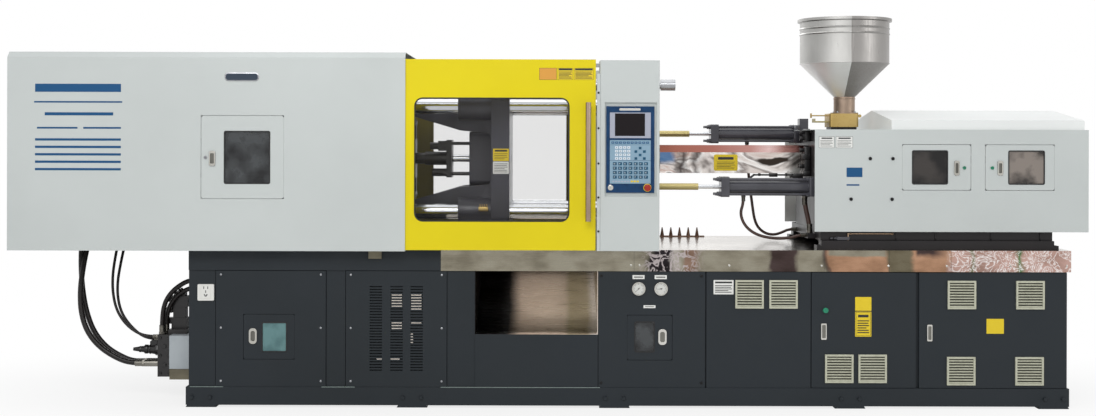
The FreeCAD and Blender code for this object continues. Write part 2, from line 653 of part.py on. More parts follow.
def small_door(x, pull_x, window_x, window_z, hinge_side):
    """Small flush door: sheet with a window pane behind an opening and a cupped pull."""
    gaps = (HINGE_GAP, 2.0) if hinge_side < 0 else (2.0, HINGE_GAP)
    span = (x[0] + gaps[0], x[1] - gaps[1])
    z = grow(HATCH_Z, -2)
    sheet = plate_y(span, z, (-PANEL_FACE, -PANEL_FACE + HATCH_SHEET), HATCH_RADIUS - 4)
    opening = plate_y(window_x, window_z, (-BASE_HALF_Y, 0), HATCH_RADIUS)
    pane = box(grow(window_x, 8), (-PANEL_FACE + HATCH_SHEET, -PANEL_FACE + HATCH_SHEET + 3), grow(window_z, 8))
    pull = plate_y(pull_x, (332, 414), (-PANEL_FACE - 7, -PANEL_FACE), 18)
    cup = plate_y(grow(pull_x, -9), (346, 400), (-PANEL_FACE - 8, -PANEL_FACE - 2), 10)
    return [sheet.cut(opening), pane, pull.cut(cup)]


def cabinet_door(x, grilles, handle_x, handle_z, lamp=None):
    """Large flush door, hinged on the right, with filter grilles and a push latch."""
    span = (x[0] + SEAM / 2, x[1] - HINGE_GAP)
    leaf = box(span, (-PANEL_FACE, -CORE_HALF_Y), (PLINTH_TOP + 2, PANEL_TOP - 2))
    edge = 20.0
    hollow = box(grow(span, -edge), (-PANEL_FACE + 3, 0), (PLINTH_TOP + 2 + edge, PANEL_TOP - 2 - edge))
    pieces = [leaf.cut(hollow)]
    pieces += [grille(left, bottom, PANEL_FACE) for left, bottom in grilles]
    plate = plate_y(handle_x, handle_z, (-PANEL_FACE - 6, -PANEL_FACE), 5)
    recess = plate_y(grow(handle_x, -5), grow(handle_z, -8), (-PANEL_FACE - 7, -PANEL_FACE - 3), 4)
    pieces.append(plate.cut(recess))
    if lamp:
        pieces.append(disc_y(lamp[0], lamp[1], 14, (-PANEL_FACE - 14, -PANEL_FACE)))
    return pieces


# ---- covers and guards ---------------------------------------------------------------------------------------------
def cover_outline(x, inset):
    """Cross-section of the clamp cover: upright sides with bevelled top edges, open below."""
    y = COVER_HALF_Y - inset
    top = COVER_Z[1] - inset
    bevel = COVER_CHAMFER + (math.sqrt(2) - 2) * inset
    bottom = COVER_Z[0] - (1 if inset else 0)
    return [(x, -y, bottom), (x, -y, top - bevel), (x, -y + bevel, top),
            (x, y - bevel, top), (x, y, top - bevel), (x, y, bottom)]


def make_clamp_cover():
    """Folded sheet cover over the clamp, its foot flanges on the bed, with an inspection opening."""
    length = COVER_X[1] - COVER_X[0]
    outer = extrude_polygon(cover_outline(COVER_X[0], 0), (length, 0, 0))
    inner = extrude_polygon(cover_outline(COVER_X[0] + SHEET, SHEET), (length, 0, 0))
    shell = outer.cut(inner)
    shell = shell.cut(box(CLAMP_HATCH_X, (-COVER_HALF_Y - 1, 0), CLAMP_HATCH_Z))
    flange = box((BODY_X[0], COVER_X[1]), (-COVER_HALF_Y + 1, -SILL_Y), (COVER_Z[0], COVER_Z[0] + SHEET))
    bracket = box((-968, -900), (-BASE_HALF_Y - 15, -BASE_HALF_Y), (781, COVER_Z[0]))
    return fuse([shell, flange, mirrored(flange), bracket])


def make_guard_rails():
    """Upper and lower rail of the sliding guards, on both sides."""
    y = (-RAIL_Y[1], -RAIL_Y[0])
    low = box(RAIL_X, y, (RAIL_SHELF_TOP, RAIL_LOW_TOP))
    web = box((RAIL_X[0], COVER_X[1]), y, (COVER_Z[0] + SHEET, RAIL_SHELF_TOP))
    shelf = box((COVER_X[1] + 4, RAIL_X[1]), (-RAIL_Y[1], -SILL_Y), (DECK_TOP, RAIL_SHELF_TOP))
    high = box((RAIL_X[0], COLUMN_X[0]), y, RAIL_HIGH_Z)
    hanger = box((RAIL_X[0], RAIL_X[0] + 20), (-COVER_HALF_Y + SHEET, -RAIL_Y[1]), RAIL_HIGH_Z)
    near = [low, web, shelf, high, hanger]
    return near + [mirrored(rail) for rail in near]


def make_guard():
    """Sliding guard door: flanged sheet with a large window opening, shoes over both rails."""
    face = -GUARD_FACE_Y
    depth = (face, face + GUARD_FLANGE)
    pan = box(GUARD_X, depth, GUARD_Z)
    hollow = box(grow(GUARD_X, -SHEET), (face + GUARD_SHEET, 0), grow(GUARD_Z, -SHEET))
    opening = plate_y(WINDOW_X, WINDOW_Z, (face - 1, 0), WINDOW_RADIUS)
    sheet = cut(pan, [hollow, opening])
    shoes = []
    for left in (GUARD_X[0] + 90, GUARD_X[1] - 190):
        x = (left, left + 100)
        shoes.append(box(x, (face + 2, -RAIL_Y[0]), (RAIL_LOW_TOP + SLIDE_GAP, RAIL_LOW_TOP + 28)))
        shoes.append(box(x, (face + 2, -RAIL_Y[0]), (RAIL_HIGH_Z[1] + SLIDE_GAP, RAIL_HIGH_Z[1] + 12)))
    return fuse([sheet] + shoes)


def make_window():
    """Clear guard pane, clamped behind the sheet."""
    inner = -GUARD_FACE_Y + GUARD_SHEET
    return plate_y(grow(WINDOW_X, WINDOW_LAP), grow(WINDOW_Z, WINDOW_LAP), (inner, inner + WINDOW_PANE),
                   WINDOW_RADIUS)


def make_grip():
    """Upright grab bar on two posts."""
    y = -GUARD_FACE_Y - GRIP_STANDOFF
    bar = post_z(GRIP_X, y, GRIP_Z, GRIP_RADIUS)
    feet = [disc_y(GRIP_X, z, GRIP_RADIUS * 0.7, (y, -GUARD_FACE_Y)) for z in grow(GRIP_Z, -30)]
    return fuse([bar] + feet)


def make_column(with_recess):
    """Upright housing beside the guard; the operator's one carries the console."""
    y = front(COLUMN_Y[1], COLUMN_Y[0])
    housing = box(COLUMN_X, y, (DECK_TOP, COLUMN_TOP))
    upright = [edge for edge in housing.Edges
               if abs(edge.tangentAt(0).z) > 0.99 and edge.CenterOfMass.y < -COLUMN_Y[1] + 1]
    housing = housing.makeFillet(5, upright)
    strip = box((COLUMN_X[0] - COLUMN_STRIP[0], COLUMN_X[0]), (-COLUMN_Y[1], -COLUMN_Y[1] + 25),
                (DECK_TOP, COLUMN_STRIP[1]))
    housing = fuse([housing, strip])
    if with_recess:
        recess = box(BEZEL_X, (-COLUMN_Y[1] - 1, -COLUMN_Y[1] + BEZEL_DEPTH), BEZEL_Z)
        return housing.cut(recess)
    return mirrored(housing)


def console_layer(x, z, near, thick):
    """Thin plate on the console; near is its front face's distance behind the column's face."""
    y = -COLUMN_Y[1] + near
    return box(x, (y, y + thick), z)


CONSOLE_FRONT = BEZEL_DEPTH - CONSOLE_THICK
PLATE_FRONT = CONSOLE_FRONT - FACE_PLATE


def make_console():
    """Console board with the display frame, the keypad plate and two bored places for controls."""
    board = console_layer(CONSOLE_X, CONSOLE_Z, CONSOLE_FRONT, CONSOLE_THICK)
    bores = [disc_y(x, SWITCH_Z, radius, (-COLUMN_Y[1], -COLUMN_Y[0]))
             for x, radius in ((KEY_SWITCH_X, 9 + SLIDE_GAP), (STOP_BUTTON_X, 9 + SLIDE_GAP))]
    board = cut(board, bores)
    frame = console_layer(DISPLAY_X, DISPLAY_Z, PLATE_FRONT, FACE_PLATE)
    frame = frame.cut(console_layer(SCREEN_X, SCREEN_Z, PLATE_FRONT - 1, FACE_PLATE))
    pad = console_layer(DISPLAY_X, KEYPAD_Z, PLATE_FRONT, FACE_PLATE)
    return [board, frame, pad]


def key_places():
    """Left, bottom, width and height of every key."""
    places = []
    for index in range(10):
        places.append((299 + index * 20, 1386, 15, 11))
    for column in range(4):
        for row in range(4):
            places.append((318 + column * 21, 1303 + row * 19, 16, 13))
    for x, z in ((441, 1357), (419, 1339), (463, 1339), (441, 1321), (419, 1303), (463, 1303)):
        places.append((x, z, 14, 13))
    for column in range(7):
        for row in range(4):
            places.append((307 + column * 27, 1205 + row * 23, 20, 16))
    return places


def make_keys():
    """Display glass and the raised keys."""
    screen = console_layer(SCREEN_X, SCREEN_Z, PLATE_FRONT + 0.8, FACE_PLATE - 1.8)
    keys = [console_layer((x, x + width), (z, z + height), PLATE_FRONT - KEY_LIFT, KEY_LIFT)
            for x, z, width, height in key_places()]
    return [screen] + keys


def make_stop_button():
    """Mushroom-headed emergency stop on its stem."""
    face = -COLUMN_Y[1] + CONSOLE_FRONT
    stem = disc_y(STOP_BUTTON_X, SWITCH_Z, 9, (face - 14, face + CONSOLE_THICK - STOP_STROKE - 1))
    head = disc_y(STOP_BUTTON_X, SWITCH_Z, STOP_RADIUS, (face - 10 - STOP_HEAD, face - 10))
    outer_rim = [edge for edge in head.Edges if edge.CenterOfMass.y < face - 10 - STOP_HEAD + 0.1]
    head = head.makeFillet(STOP_HEAD / 2, outer_rim)
    return fuse([stem, head])


def make_key_switch():
    """Key switch with a short key in it."""
    face = -COLUMN_Y[1] + CONSOLE_FRONT
    barrel = disc_y(KEY_SWITCH_X, SWITCH_Z, 9, (face - 6, face + CONSOLE_THICK - 1))
    key = box((KEY_SWITCH_X - 1.2, KEY_SWITCH_X + 1.2), (face - 26, face - 6), (SWITCH_Z - 7, SWITCH_Z + 7))
    return fuse([barrel, key])


# ---- clamp -----------------------------------------------------------------------------------------------------------
def tie_axes():
    """The four tie bar axes, as y and z."""
    return [(sy * TIE_HALF, AXIS_Z + sz * TIE_HALF) for sy in (-1, 1) for sz in (-1, 1)]


def platen_block(x):
    """Thick platen with rounded corners, bored for the tie bars."""
    block = plate_x(x, (-PLATEN_HALF_Y, PLATEN_HALF_Y), (AXIS_Z - PLATEN_HALF_Z, AXIS_Z + PLATEN_HALF_Z),
                    PLATEN_CORNER)
    return cut(block, [bar_x(grow(x, 1), y, z, TIE_RADIUS + SLIDE_GAP) for y, z in tie_axes()])


def mould_holes(face_x, direction):
    """Tapped holes of both mould patterns; direction is the way into the platen."""
    holes = []
    span = sorted((face_x - direction, face_x + direction * MOULD_BOLT_DEPTH))
    for spacing_y, spacing_z in MOULD_PATTERNS:
        for sy in (-0.5, 0.5):
            for sz in (-0.5, 0.5):
                holes.append(bar_x(span, sy * spacing_y, AXIS_Z + sz * spacing_z, MOULD_BOLT_R))
    return holes


def make_fixed_platen():
    """Fixed platen with the locating bore, the tapered nozzle pass and its footing on the deck."""
    x = FIXED_PLATEN_X
    locating = bar_x((x[0] - 1, x[0] + LOCATING_DEPTH), 0, AXIS_Z, LOCATING_RADIUS)
    taper = cone_x((x[0] + LOCATING_DEPTH, x[1]), 0, AXIS_Z, (CONE_START, 2 * CONE_START))
    block = cut(platen_block(x), [locating, taper] + mould_holes(x[0], 1))
    feet = [box((x[0] + 15, x[1] - 15), y, (DECK_TOP, AXIS_Z - PLATEN_HALF_Z + 5)) for y in pairs((240.0, 320.0))]
    return fuse([block] + feet)


def make_rear_platen():
    """Rear platen with lugs and pins for the rear links."""
    x = (REAR_BACK_X, REAR_FACE_X)
    block = platen_block(x).cut(bar_x(grow(x, 1), 0, AXIS_Z, ROD_RADIUS + SLIDE_GAP))
    pieces = [block]
    for half in REAR_LUGS_Y:
        for y in pairs(half):
            pieces.append(lug(REAR_PIVOT_X, REAR_FACE_X, y, LINK_END_R))
    for y in pairs((REAR_LUGS_Y[0][0], REAR_LUGS_Y[1][1])):
        pieces.append(disc_y(REAR_PIVOT_X, AXIS_Z + PIVOT_HALF_Z, PIVOT_PIN_R, y))
    uppers = pieces[1:]
    pieces += [upside_down(piece) for piece in uppers]
    pieces += [box(grow(x, -20), y, (BASE_TOP, AXIS_Z - PLATEN_HALF_Z + 5)) for y in pairs((240.0, 320.0))]
    return fuse(pieces)


def lug(pivot_x, root_x, y, radius):
    """Ear around an upper pivot, widening towards the platen that carries it."""
    z = AXIS_Z + PIVOT_HALF_Z
    flare = radius + 14
    web = extrude_polygon([(pivot_x, y[0], z - radius), (root_x, y[0], z - flare),
                           (root_x, y[0], z + flare), (pivot_x, y[0], z + radius)], (0, y[1] - y[0], 0))
    return fuse([web, disc_y(pivot_x, z, radius, y)])


def make_moving_platen():
    """Moving platen: plate, tie bar bosses, hub, ribs, toggle lugs, slide shoes."""
    x = (MOVING_FACE_X - MOVING_THICK, MOVING_FACE_X)
    back = x[0]
    boss_x = (MOVING_FACE_X - BOSS_LENGTH, MOVING_FACE_X)
    pieces = [plate_x(x, (-PLATEN_HALF_Y, PLATEN_HALF_Y), (AXIS_Z - PLATEN_HALF_Z, AXIS_Z + PLATEN_HALF_Z),
                      PLATEN_CORNER)]
    pieces += [bar_x(boss_x, y, z, BOSS_RADIUS) for y, z in tie_axes()]
    hub_y, hub_z = HUB_HALF
    pieces.append(plate_x((HUB_X, back + 1), (-hub_y, hub_y), (AXIS_Z - hub_z, AXIS_Z + hub_z), 30))
    for sy in (-1, 1):
        for sz in (-1, 1):
            tip_z = AXIS_Z + sz * (TIE_HALF - BOSS_RADIUS + 8)
            root_z = AXIS_Z + sz * (hub_z - 40)
            rib_y = sy * (TIE_HALF - 15)
            pieces.append(extrude_polygon([(back + 1, rib_y, root_z), (HUB_X + 60, rib_y, tip_z),
                                           (back + 1, rib_y, tip_z)], (0, 30, 0)))
    ears = []
    for half in PLATEN_LUGS_Y:
        for y in pairs(half):
            ears.append(lug(FRONT_PIVOT_X, back + 1, y, LINK_END_R))
    for y in pairs((PLATEN_LUGS_Y[0][0], PLATEN_LUGS_Y[1][1])):
        ears.append(disc_y(FRONT_PIVOT_X, AXIS_Z + PIVOT_HALF_Z, PIVOT_PIN_R, y))
    pieces += ears + [upside_down(piece) for piece in ears]
    shoe_z = (DECK_TOP + SLIDE_GAP, AXIS_Z - PLATEN_HALF_Z + 5)
    pieces += [box((boss_x[0] + 60, MOVING_FACE_X - 20), y, shoe_z) for y in pairs((262.0, 322.0))]
    tools = [bar_x(grow(boss_x, 2), y, z, TIE_RADIUS + SLIDE_GAP) for y, z in tie_axes()]
    tools.append(bar_x((HUB_X - 1, MOVING_FACE_X + 1), 0, AXIS_Z, EJECTOR_BORE))
    tools += mould_holes(MOVING_FACE_X, -1)
    return cut(fuse(pieces), tools)


SAFETY_BAR_Z = 1715.0
SAFETY_BAR_X = (-420.0, 685.0)
SAFETY_BAR_R = 32.0
SAFETY_NOTCH_PITCH = 70.0


def make_safety_bar():
    """Notched drop-bar that rides with the moving platen over the fixed one, on a bracket."""
    bar = bar_x(SAFETY_BAR_X, 0, SAFETY_BAR_Z, SAFETY_BAR_R)
    count = int((SAFETY_BAR_X[1] - 40 - FIXED_PLATEN_X[1]) // SAFETY_NOTCH_PITCH)
    tools = []
    for index in range(count):
        left = FIXED_PLATEN_X[1] + 20 + index * SAFETY_NOTCH_PITCH
        ring = bar_x((left, left + 24), 0, SAFETY_BAR_Z, SAFETY_BAR_R + 1)
        tools.append(ring.cut(bar_x((left, left + 24), 0, SAFETY_BAR_Z, SAFETY_BAR_R - 9)))
    bracket = box((MOVING_FACE_X - MOVING_THICK, MOVING_FACE_X - 20), (-45, 45),
                  (AXIS_Z + PLATEN_HALF_Z, SAFETY_BAR_Z + SAFETY_BAR_R - 10))
    return fuse([cut(bar, tools) if tools else bar, bracket])


def make_tie_bars():
    """Four tie bars, each with its nut ahead of the fixed platen and behind the rear one."""
    bars = []
    for y, z in tie_axes():
        bar = bar_x(TIE_X, y, z, TIE_RADIUS)
        nut = bar_x((FIXED_PLATEN_X[1], FIXED_PLATEN_X[1] + 50), y, z, TIE_RADIUS + 26)
        back_nut = bar_x((REAR_BACK_X - 70, REAR_BACK_X), y, z, TIE_RADIUS + 44)
        bars.append(fuse([bar, nut, back_nut]))
    return bars


def link_plates(outline_discs, y_half, holes):
    """A pair of flat link plates: the hull of round ends, with round holes."""
    plates = []
    for y in pairs(y_half):
        plate = fuse([disc_y(x, z, radius, y) for x, z, radius in outline_discs]
                     + [hull_strip(a, b, y) for a, b in zip(outline_discs, outline_discs[1:] + outline_discs[:1])])
        plates.append(plate)
    tools = [disc_y(x, z, radius, (-y_half[1] - 1, y_half[1] + 1)) for x, z, radius in holes]
    return [cut(plate, tools) if tools else plate for plate in plates]


def hull_strip(first, second, y):
    """Flat piece between two round ends, bounded by their outer tangents."""
    x1, z1, r1 = first
    x2, z2, r2 = second
    along = math.atan2(z2 - z1, x2 - x1)
    lean = math.acos((r1 - r2) / math.hypot(x2 - x1, z2 - z1))
    corners = []
    for x, z, radius, side in ((x1, z1, r1, 1), (x2, z2, r2, 1), (x2, z2, r2, -1), (x1, z1, r1, -1)):
        angle = along + side * lean
        corners.append((x + radius * math.cos(angle), y[0], z + radius * math.sin(angle)))
    return extrude_polygon(corners, (0, y[1] - y[0], 0))


def make_rear_link():
    """Upper rear link: two three-cornered plates, a knee pin on each and the crank pin through both."""
    ends = [(REAR_PIVOT_X, AXIS_Z + PIVOT_HALF_Z, LINK_END_R), (KNEE_X, AXIS_Z + KNEE_HALF_Z, LINK_END_R),
            (CRANK_X, AXIS_Z + CRANK_HALF_Z, SHORT_END_R)]
    pivot = (REAR_PIVOT_X, AXIS_Z + PIVOT_HALF_Z, PIVOT_PIN_R + PIN_GAP)
    plates = link_plates(ends, REAR_LINK_Y, [pivot])
    knees = [disc_y(KNEE_X, AXIS_Z + KNEE_HALF_Z, PIVOT_PIN_R, y) for y in pairs((REAR_LINK_Y[0], FRONT_LINK_Y[1]))]
    crank = disc_y(CRANK_X, AXIS_Z + CRANK_HALF_Z, SHORT_PIN_R, (-REAR_LINK_Y[1], REAR_LINK_Y[1]))
    return fuse(plates + knees + [crank])


def make_front_link():
    """Upper front link: two straight plates from the knee to the moving platen, waisted in between."""
    ends = [(KNEE_X, AXIS_Z + KNEE_HALF_Z, LINK_END_R), (FRONT_PIVOT_X, AXIS_Z + PIVOT_HALF_Z, LINK_END_R)]
    holes = [(KNEE_X, AXIS_Z + KNEE_HALF_Z, PIVOT_PIN_R + PIN_GAP),
             (FRONT_PIVOT_X, AXIS_Z + PIVOT_HALF_Z, PIVOT_PIN_R + PIN_GAP)]
    return link_plates(ends, FRONT_LINK_Y, holes)


def make_short_link():
    """Upper short link: two plates from the crosshead to the crank pin."""
    ends = [(CRANK_X, AXIS_Z + CRANK_HALF_Z, SHORT_END_R), (CROSSHEAD_X, AXIS_Z + PIVOT_HALF_Z, SHORT_END_R)]
    holes = [(CRANK_X, AXIS_Z + CRANK_HALF_Z, SHORT_PIN_R + PIN_GAP),
             (CROSSHEAD_X, AXIS_Z + PIVOT_HALF_Z, SHORT_PIN_R + PIN_GAP)]
    return link_plates(ends, SHORT_LINK_Y, holes)


CYLINDER_FRONT_X = REAR_BACK_X - CYLINDER_FLANGE[1]
CYLINDER_REAR_X = CYLINDER_FRONT_X - CYLINDER_LENGTH


def make_crosshead():
    """Crosshead block with its two pin ears, on the clamp cylinder's piston rod."""
    half_x, half_y, half_z = CROSSHEAD_HALF
    x = (CROSSHEAD_X - half_x, CROSSHEAD_X + half_x)
    block = plate_x(x, (-half_y, half_y), (AXIS_Z - half_z, AXIS_Z + half_z), 20)
    pieces = [block]
    for sign in (-1, 1):
        z = AXIS_Z + sign * PIVOT_HALF_Z
        reach = sorted((AXIS_Z + sign * (half_z - 1), z))
        ear = box((CROSSHEAD_X - SHORT_END_R, CROSSHEAD_X + SHORT_END_R), (-CROSSHEAD_LUG_Y, CROSSHEAD_LUG_Y), reach)
        pieces.append(ear)
        pieces.append(disc_y(CROSSHEAD_X, z, SHORT_END_R, (-CROSSHEAD_LUG_Y, CROSSHEAD_LUG_Y)))
        pieces.append(disc_y(CROSSHEAD_X, z, SHORT_PIN_R, (-SHORT_LINK_Y[1], SHORT_LINK_Y[1])))
    piston_x = CYLINDER_FRONT_X - 70
    pieces.append(bar_x((piston_x, x[0] + 1), 0, AXIS_Z, ROD_RADIUS))
    pieces.append(bar_x((piston_x - 50, piston_x), 0, AXIS_Z, CYLINDER_BORE - SLIDE_GAP))
    return fuse(pieces)


def make_clamp_cylinder():
    """Clamp cylinder: flange on the rear platen, tube, square cap with tie rods and port block."""
    radius, thick = CYLINDER_FLANGE
    half, cap = CYLINDER_CAP
    flange = bar_x((CYLINDER_FRONT_X, REAR_BACK_X), 0, AXIS_Z, radius)
    tube = bar_x((CYLINDER_REAR_X, CYLINDER_FRONT_X), 0, AXIS_Z, CYLINDER_RADIUS)
    end = plate_x((CYLINDER_REAR_X - cap, CYLINDER_REAR_X), (-half, half), (AXIS_Z - half, AXIS_Z + half), 12)
    rods = [bar_x((CYLINDER_REAR_X - cap - 12, CYLINDER_FRONT_X), sy * (half - 15), AXIS_Z + sz * (half - 15), 10)
            for sy in (-1, 1) for sz in (-1, 1)]
    bore = bar_x((CYLINDER_REAR_X, CYLINDER_FRONT_X), 0, AXIS_Z, CYLINDER_BORE)
    gland = bar_x((CYLINDER_FRONT_X - 1, REAR_BACK_X + 1), 0, AXIS_Z, ROD_RADIUS + SLIDE_GAP)
    body = cut(fuse([flange, tube, end] + rods), [bore, gland])
    rear = CYLINDER_REAR_X - cap
    ports = [bar_x((route[0][0], rear), route[0][1], route[0][2], size / 2 + 5)
             for routes, size in ((CLAMP_HOSES, CLAMP_HOSE_D), (PILOT_HOSES, PILOT_HOSE_D)) for route in routes]
    return fuse([body] + ports)


EJECTOR_PLATE_X = (HUB_X - 130, HUB_X - 100)
EJECTOR_PLATE_Z = (1194.0, 1404.0)
EJECTOR_CYLINDER_X = (HUB_X - 253, HUB_X - 130)
EJECTOR_ROD_R = 20.0


def make_ejector_unit():
    """Ejector cylinder on a plate, carried by four spacer rods from the platen's hub."""
    plate = plate_x(EJECTOR_PLATE_X, (-75, 75), EJECTOR_PLATE_Z, 8)
    rods = [bar_x((EJECTOR_PLATE_X[0] - 14, HUB_X), y, z, 9)
            for y in (-60, 60) for z in (EJECTOR_PLATE_Z[0] + 20, EJECTOR_PLATE_Z[1] - 20)]
    barrel = bar_x(EJECTOR_CYLINDER_X, 0, AXIS_Z, 38)
    bore = bar_x((EJECTOR_CYLINDER_X[0] + 12, EJECTOR_CYLINDER_X[1]), 0, AXIS_Z, 28)
    gland = bar_x(grow(EJECTOR_PLATE_X, 1), 0, AXIS_Z, EJECTOR_ROD_R + SLIDE_GAP)
    body = cut(fuse([plate, barrel] + rods), [bore, gland])
    valve = box((EJECTOR_PLATE_X[0] - 46, EJECTOR_PLATE_X[0]), (-70, -20), (1342, 1398))
    coil = bar_x((EJECTOR_PLATE_X[0] - 92, EJECTOR_PLATE_X[0] - 46), -45, 1370, 20)
    lower = bar_x((EJECTOR_PLATE_X[0] - 80, EJECTOR_PLATE_X[0]), -45, 1222, 22)
    return fuse([body, valve, coil, lower])


def make_ejector_rod():
    """Ejector rod with its piston in the cylinder and a push pin into the platen's bore."""
    tip = MOVING_FACE_X - 6
    piston_x = EJECTOR_CYLINDER_X[0] + 14
    return fuse([bar_x((piston_x, tip), 0, AXIS_Z, EJECTOR_ROD_R),
                 bar_x((piston_x, piston_x + 12), 0, AXIS_Z, 28 - SLIDE_GAP)])


# ---- injection unit ----------------------------------------------------------------------------------------------------
def make_carriage_rails():
    """Two bed rails under the carriage, with a run-in lip at both ends."""
    near = box(CARRIAGE_X, (-CARRIAGE_RAIL_Y[1], -CARRIAGE_RAIL_Y[0]), CARRIAGE_RAIL_Z)
    lips = [box((x, x + 24), (-CARRIAGE_RAIL_Y[1], -CARRIAGE_RAIL_Y[0]),
                (CARRIAGE_RAIL_Z[0], CARRIAGE_RAIL_Z[0] + 20)) for x in (CARRIAGE_X[0] - 24, CARRIAGE_X[1])]
    near = fuse([near] + lips)
    return [near, mirrored(near)]


def make_carriage_bed():
    """Carriage bed, front bulkhead with feed block, guide rods, tail plate and hose block."""
    bed_z = (CARRIAGE_RAIL_Z[1] + SLIDE_GAP, CARRIAGE_BED_TOP)
    bed = box(CARRIAGE_X, (-CARRIAGE_BED_HALF_Y, CARRIAGE_BED_HALF_Y), bed_z)
    bulkhead = box(BULKHEAD_X, (-BULKHEAD_HALF_Y, BULKHEAD_HALF_Y), (CARRIAGE_BED_TOP - 1, BULKHEAD_TOP))
    feed_y, feed_z = FEED_BLOCK_HALF
    feed = box((FEED_BLOCK_X[0] - 1, FEED_BLOCK_X[1]), (-feed_y, feed_y), (AXIS_Z - feed_z, AXIS_Z + feed_z))
    riser = box((SEAT_X[0] + 10, SEAT_X[1] - 10), (-70, 70), (AXIS_Z + feed_z - 1, SEAT_Z[0]))
    guides = [bar_x((BULKHEAD_X[1] - 1, TAIL_PLATE_X[1]), side * GUIDE_ROD_Y, AXIS_Z, GUIDE_ROD_R)
              for side in (-1, 1)]
    tail = box(TAIL_PLATE_X, (-230, 230), (CARRIAGE_BED_TOP - 1, AXIS_Z + 60))
    hose_block = box((CARRIAGE_X[0] - 41, CARRIAGE_X[0]), (-300, -205), (bed_z[0], CARRIAGE_BED_TOP - 20))
    solid = fuse([bed, bulkhead, feed, riser, tail, hose_block] + guides)
    bore = bar_x((BULKHEAD_X[0] - 1, FEED_BLOCK_X[1] + 1), 0, AXIS_Z, SCREW_RADIUS + SLIDE_GAP)
    throat = post_z(HOPPER_X, 0, (AXIS_Z, SEAT_Z[0] + 1), THROAT_RADIUS)
    return cut(solid, [bore, throat])


def shroud_outline(x, inset):
    """Cross-section of the injection cover, open below."""
    y = SHROUD_HALF_Y - inset
    return [(x, -y, SHROUD_Z[0] - inset), (x, -y, SHROUD_Z[1] - inset),
            (x, y, SHROUD_Z[1] - inset), (x, y, SHROUD_Z[0] - inset)]


def hood_outline(x, inset):
    """Cross-section of the ridged hood on the cover."""
    y = HOOD_HALF_Y - inset
    return [(x, -y, SHROUD_Z[1] - SHEET), (x, -y, HOOD_EAVE_Z - inset), (x, 0, HOOD_RIDGE_Z - inset),
            (x, y, HOOD_EAVE_Z - inset), (x, y, SHROUD_Z[1] - SHEET)]


def make_shroud():
    """Sheet cover over the injection unit with its hood; two door openings, open towards the barrel."""
    length = SHROUD_X[1] - SHROUD_X[0]
    outer = extrude_polygon(shroud_outline(SHROUD_X[0], 0), (length, 0, 0))
    inner = extrude_polygon(shroud_outline(SHROUD_X[0] - 1, SHEET), (length - SHEET + 1, 0, 0))
    hood_length = HOOD_X[1] - HOOD_X[0]
    hood = extrude_polygon(hood_outline(HOOD_X[0], 0), (hood_length, 0, 0))
    hood_space = extrude_polygon(hood_outline(HOOD_X[0] + SHEET, SHEET), (hood_length - 2 * SHEET, 0, 0))
    shell = outer.fuse(hood).cut(inner).cut(hood_space)
    openings = [box(x, (-SHROUD_HALF_Y - 1, 0), SHROUD_DOOR_Z) for x in (SHROUD_DOOR_LEFT_X, SHROUD_DOOR_RIGHT_X)]
    lid_z = (SHROUD_Z[1] - SHEET - 1, SHROUD_Z[1] + 1)
    openings.append(box(grow(SEAT_X, 4), (-SEAT_HALF_Y - 4, SEAT_HALF_Y + 4), lid_z))
    openings.append(box((SHROUD_X[0] - 1, BULKHEAD_X[1] + 10), (170, 330), lid_z))
    shell = cut(shell, openings)
    flange = box((CARRIAGE_X[0] + 60, SHROUD_X[1]), (-SHROUD_HALF_Y + 1, -CARRIAGE_BED_HALF_Y + 20),
                 (CARRIAGE_BED_TOP, CARRIAGE_BED_TOP + SHEET))
    return fuse([shell, flange, mirrored(flange)])


def make_barrel():
    """Plasticising barrel with heater bands and a screwed-on nozzle, bored for the screw."""
    back = BULKHEAD_X[0]
    pieces = [bar_x((NOZZLE_HEAD_X[1], back), 0, AXIS_Z, BARREL_RADIUS)]
    bands = int((back - BAND_FIRST_X - BAND_LENGTH) // BAND_PITCH) + 1
    for index in range(bands):
        left = BAND_FIRST_X + index * BAND_PITCH
        pieces.append(bar_x((left, left + BAND_LENGTH), 0, AXIS_Z, BAND_RADIUS))
    head = NOZZLE_HEAD_X
    pieces.append(cone_x(head, 0, AXIS_Z, (26, 44)))
    pieces.append(bar_x((NOZZLE_TIP_X + 12, head[0] + 1), 0, AXIS_Z, 20))
    pieces.append(cone_x((NOZZLE_TIP_X, NOZZLE_TIP_X + 12), 0, AXIS_Z, (9, 20)))
    bore = bar_x((SCREW_TIP_X - 30, back + 1), 0, AXIS_Z, SCREW_RADIUS + SLIDE_GAP)
    runner = bar_x((NOZZLE_TIP_X - 1, SCREW_TIP_X), 0, AXIS_Z, 3)
    return cut(fuse(pieces), [bore, runner])


def barrel_cover_outline(x, inset):
    """Faceted cross-section of the barrel cover, open below."""
    y = BARREL_COVER_HALF_Y - inset
    bottom = BARREL_COVER_Z[0] - inset
    top = BARREL_COVER_Z[1] - inset
    facet = BARREL_COVER_FACET
    return [(x, -y, bottom), (x, -y, top - facet), (x, -y + facet, top),
            (x, y - facet, top), (x, y, top - facet), (x, y, bottom)]


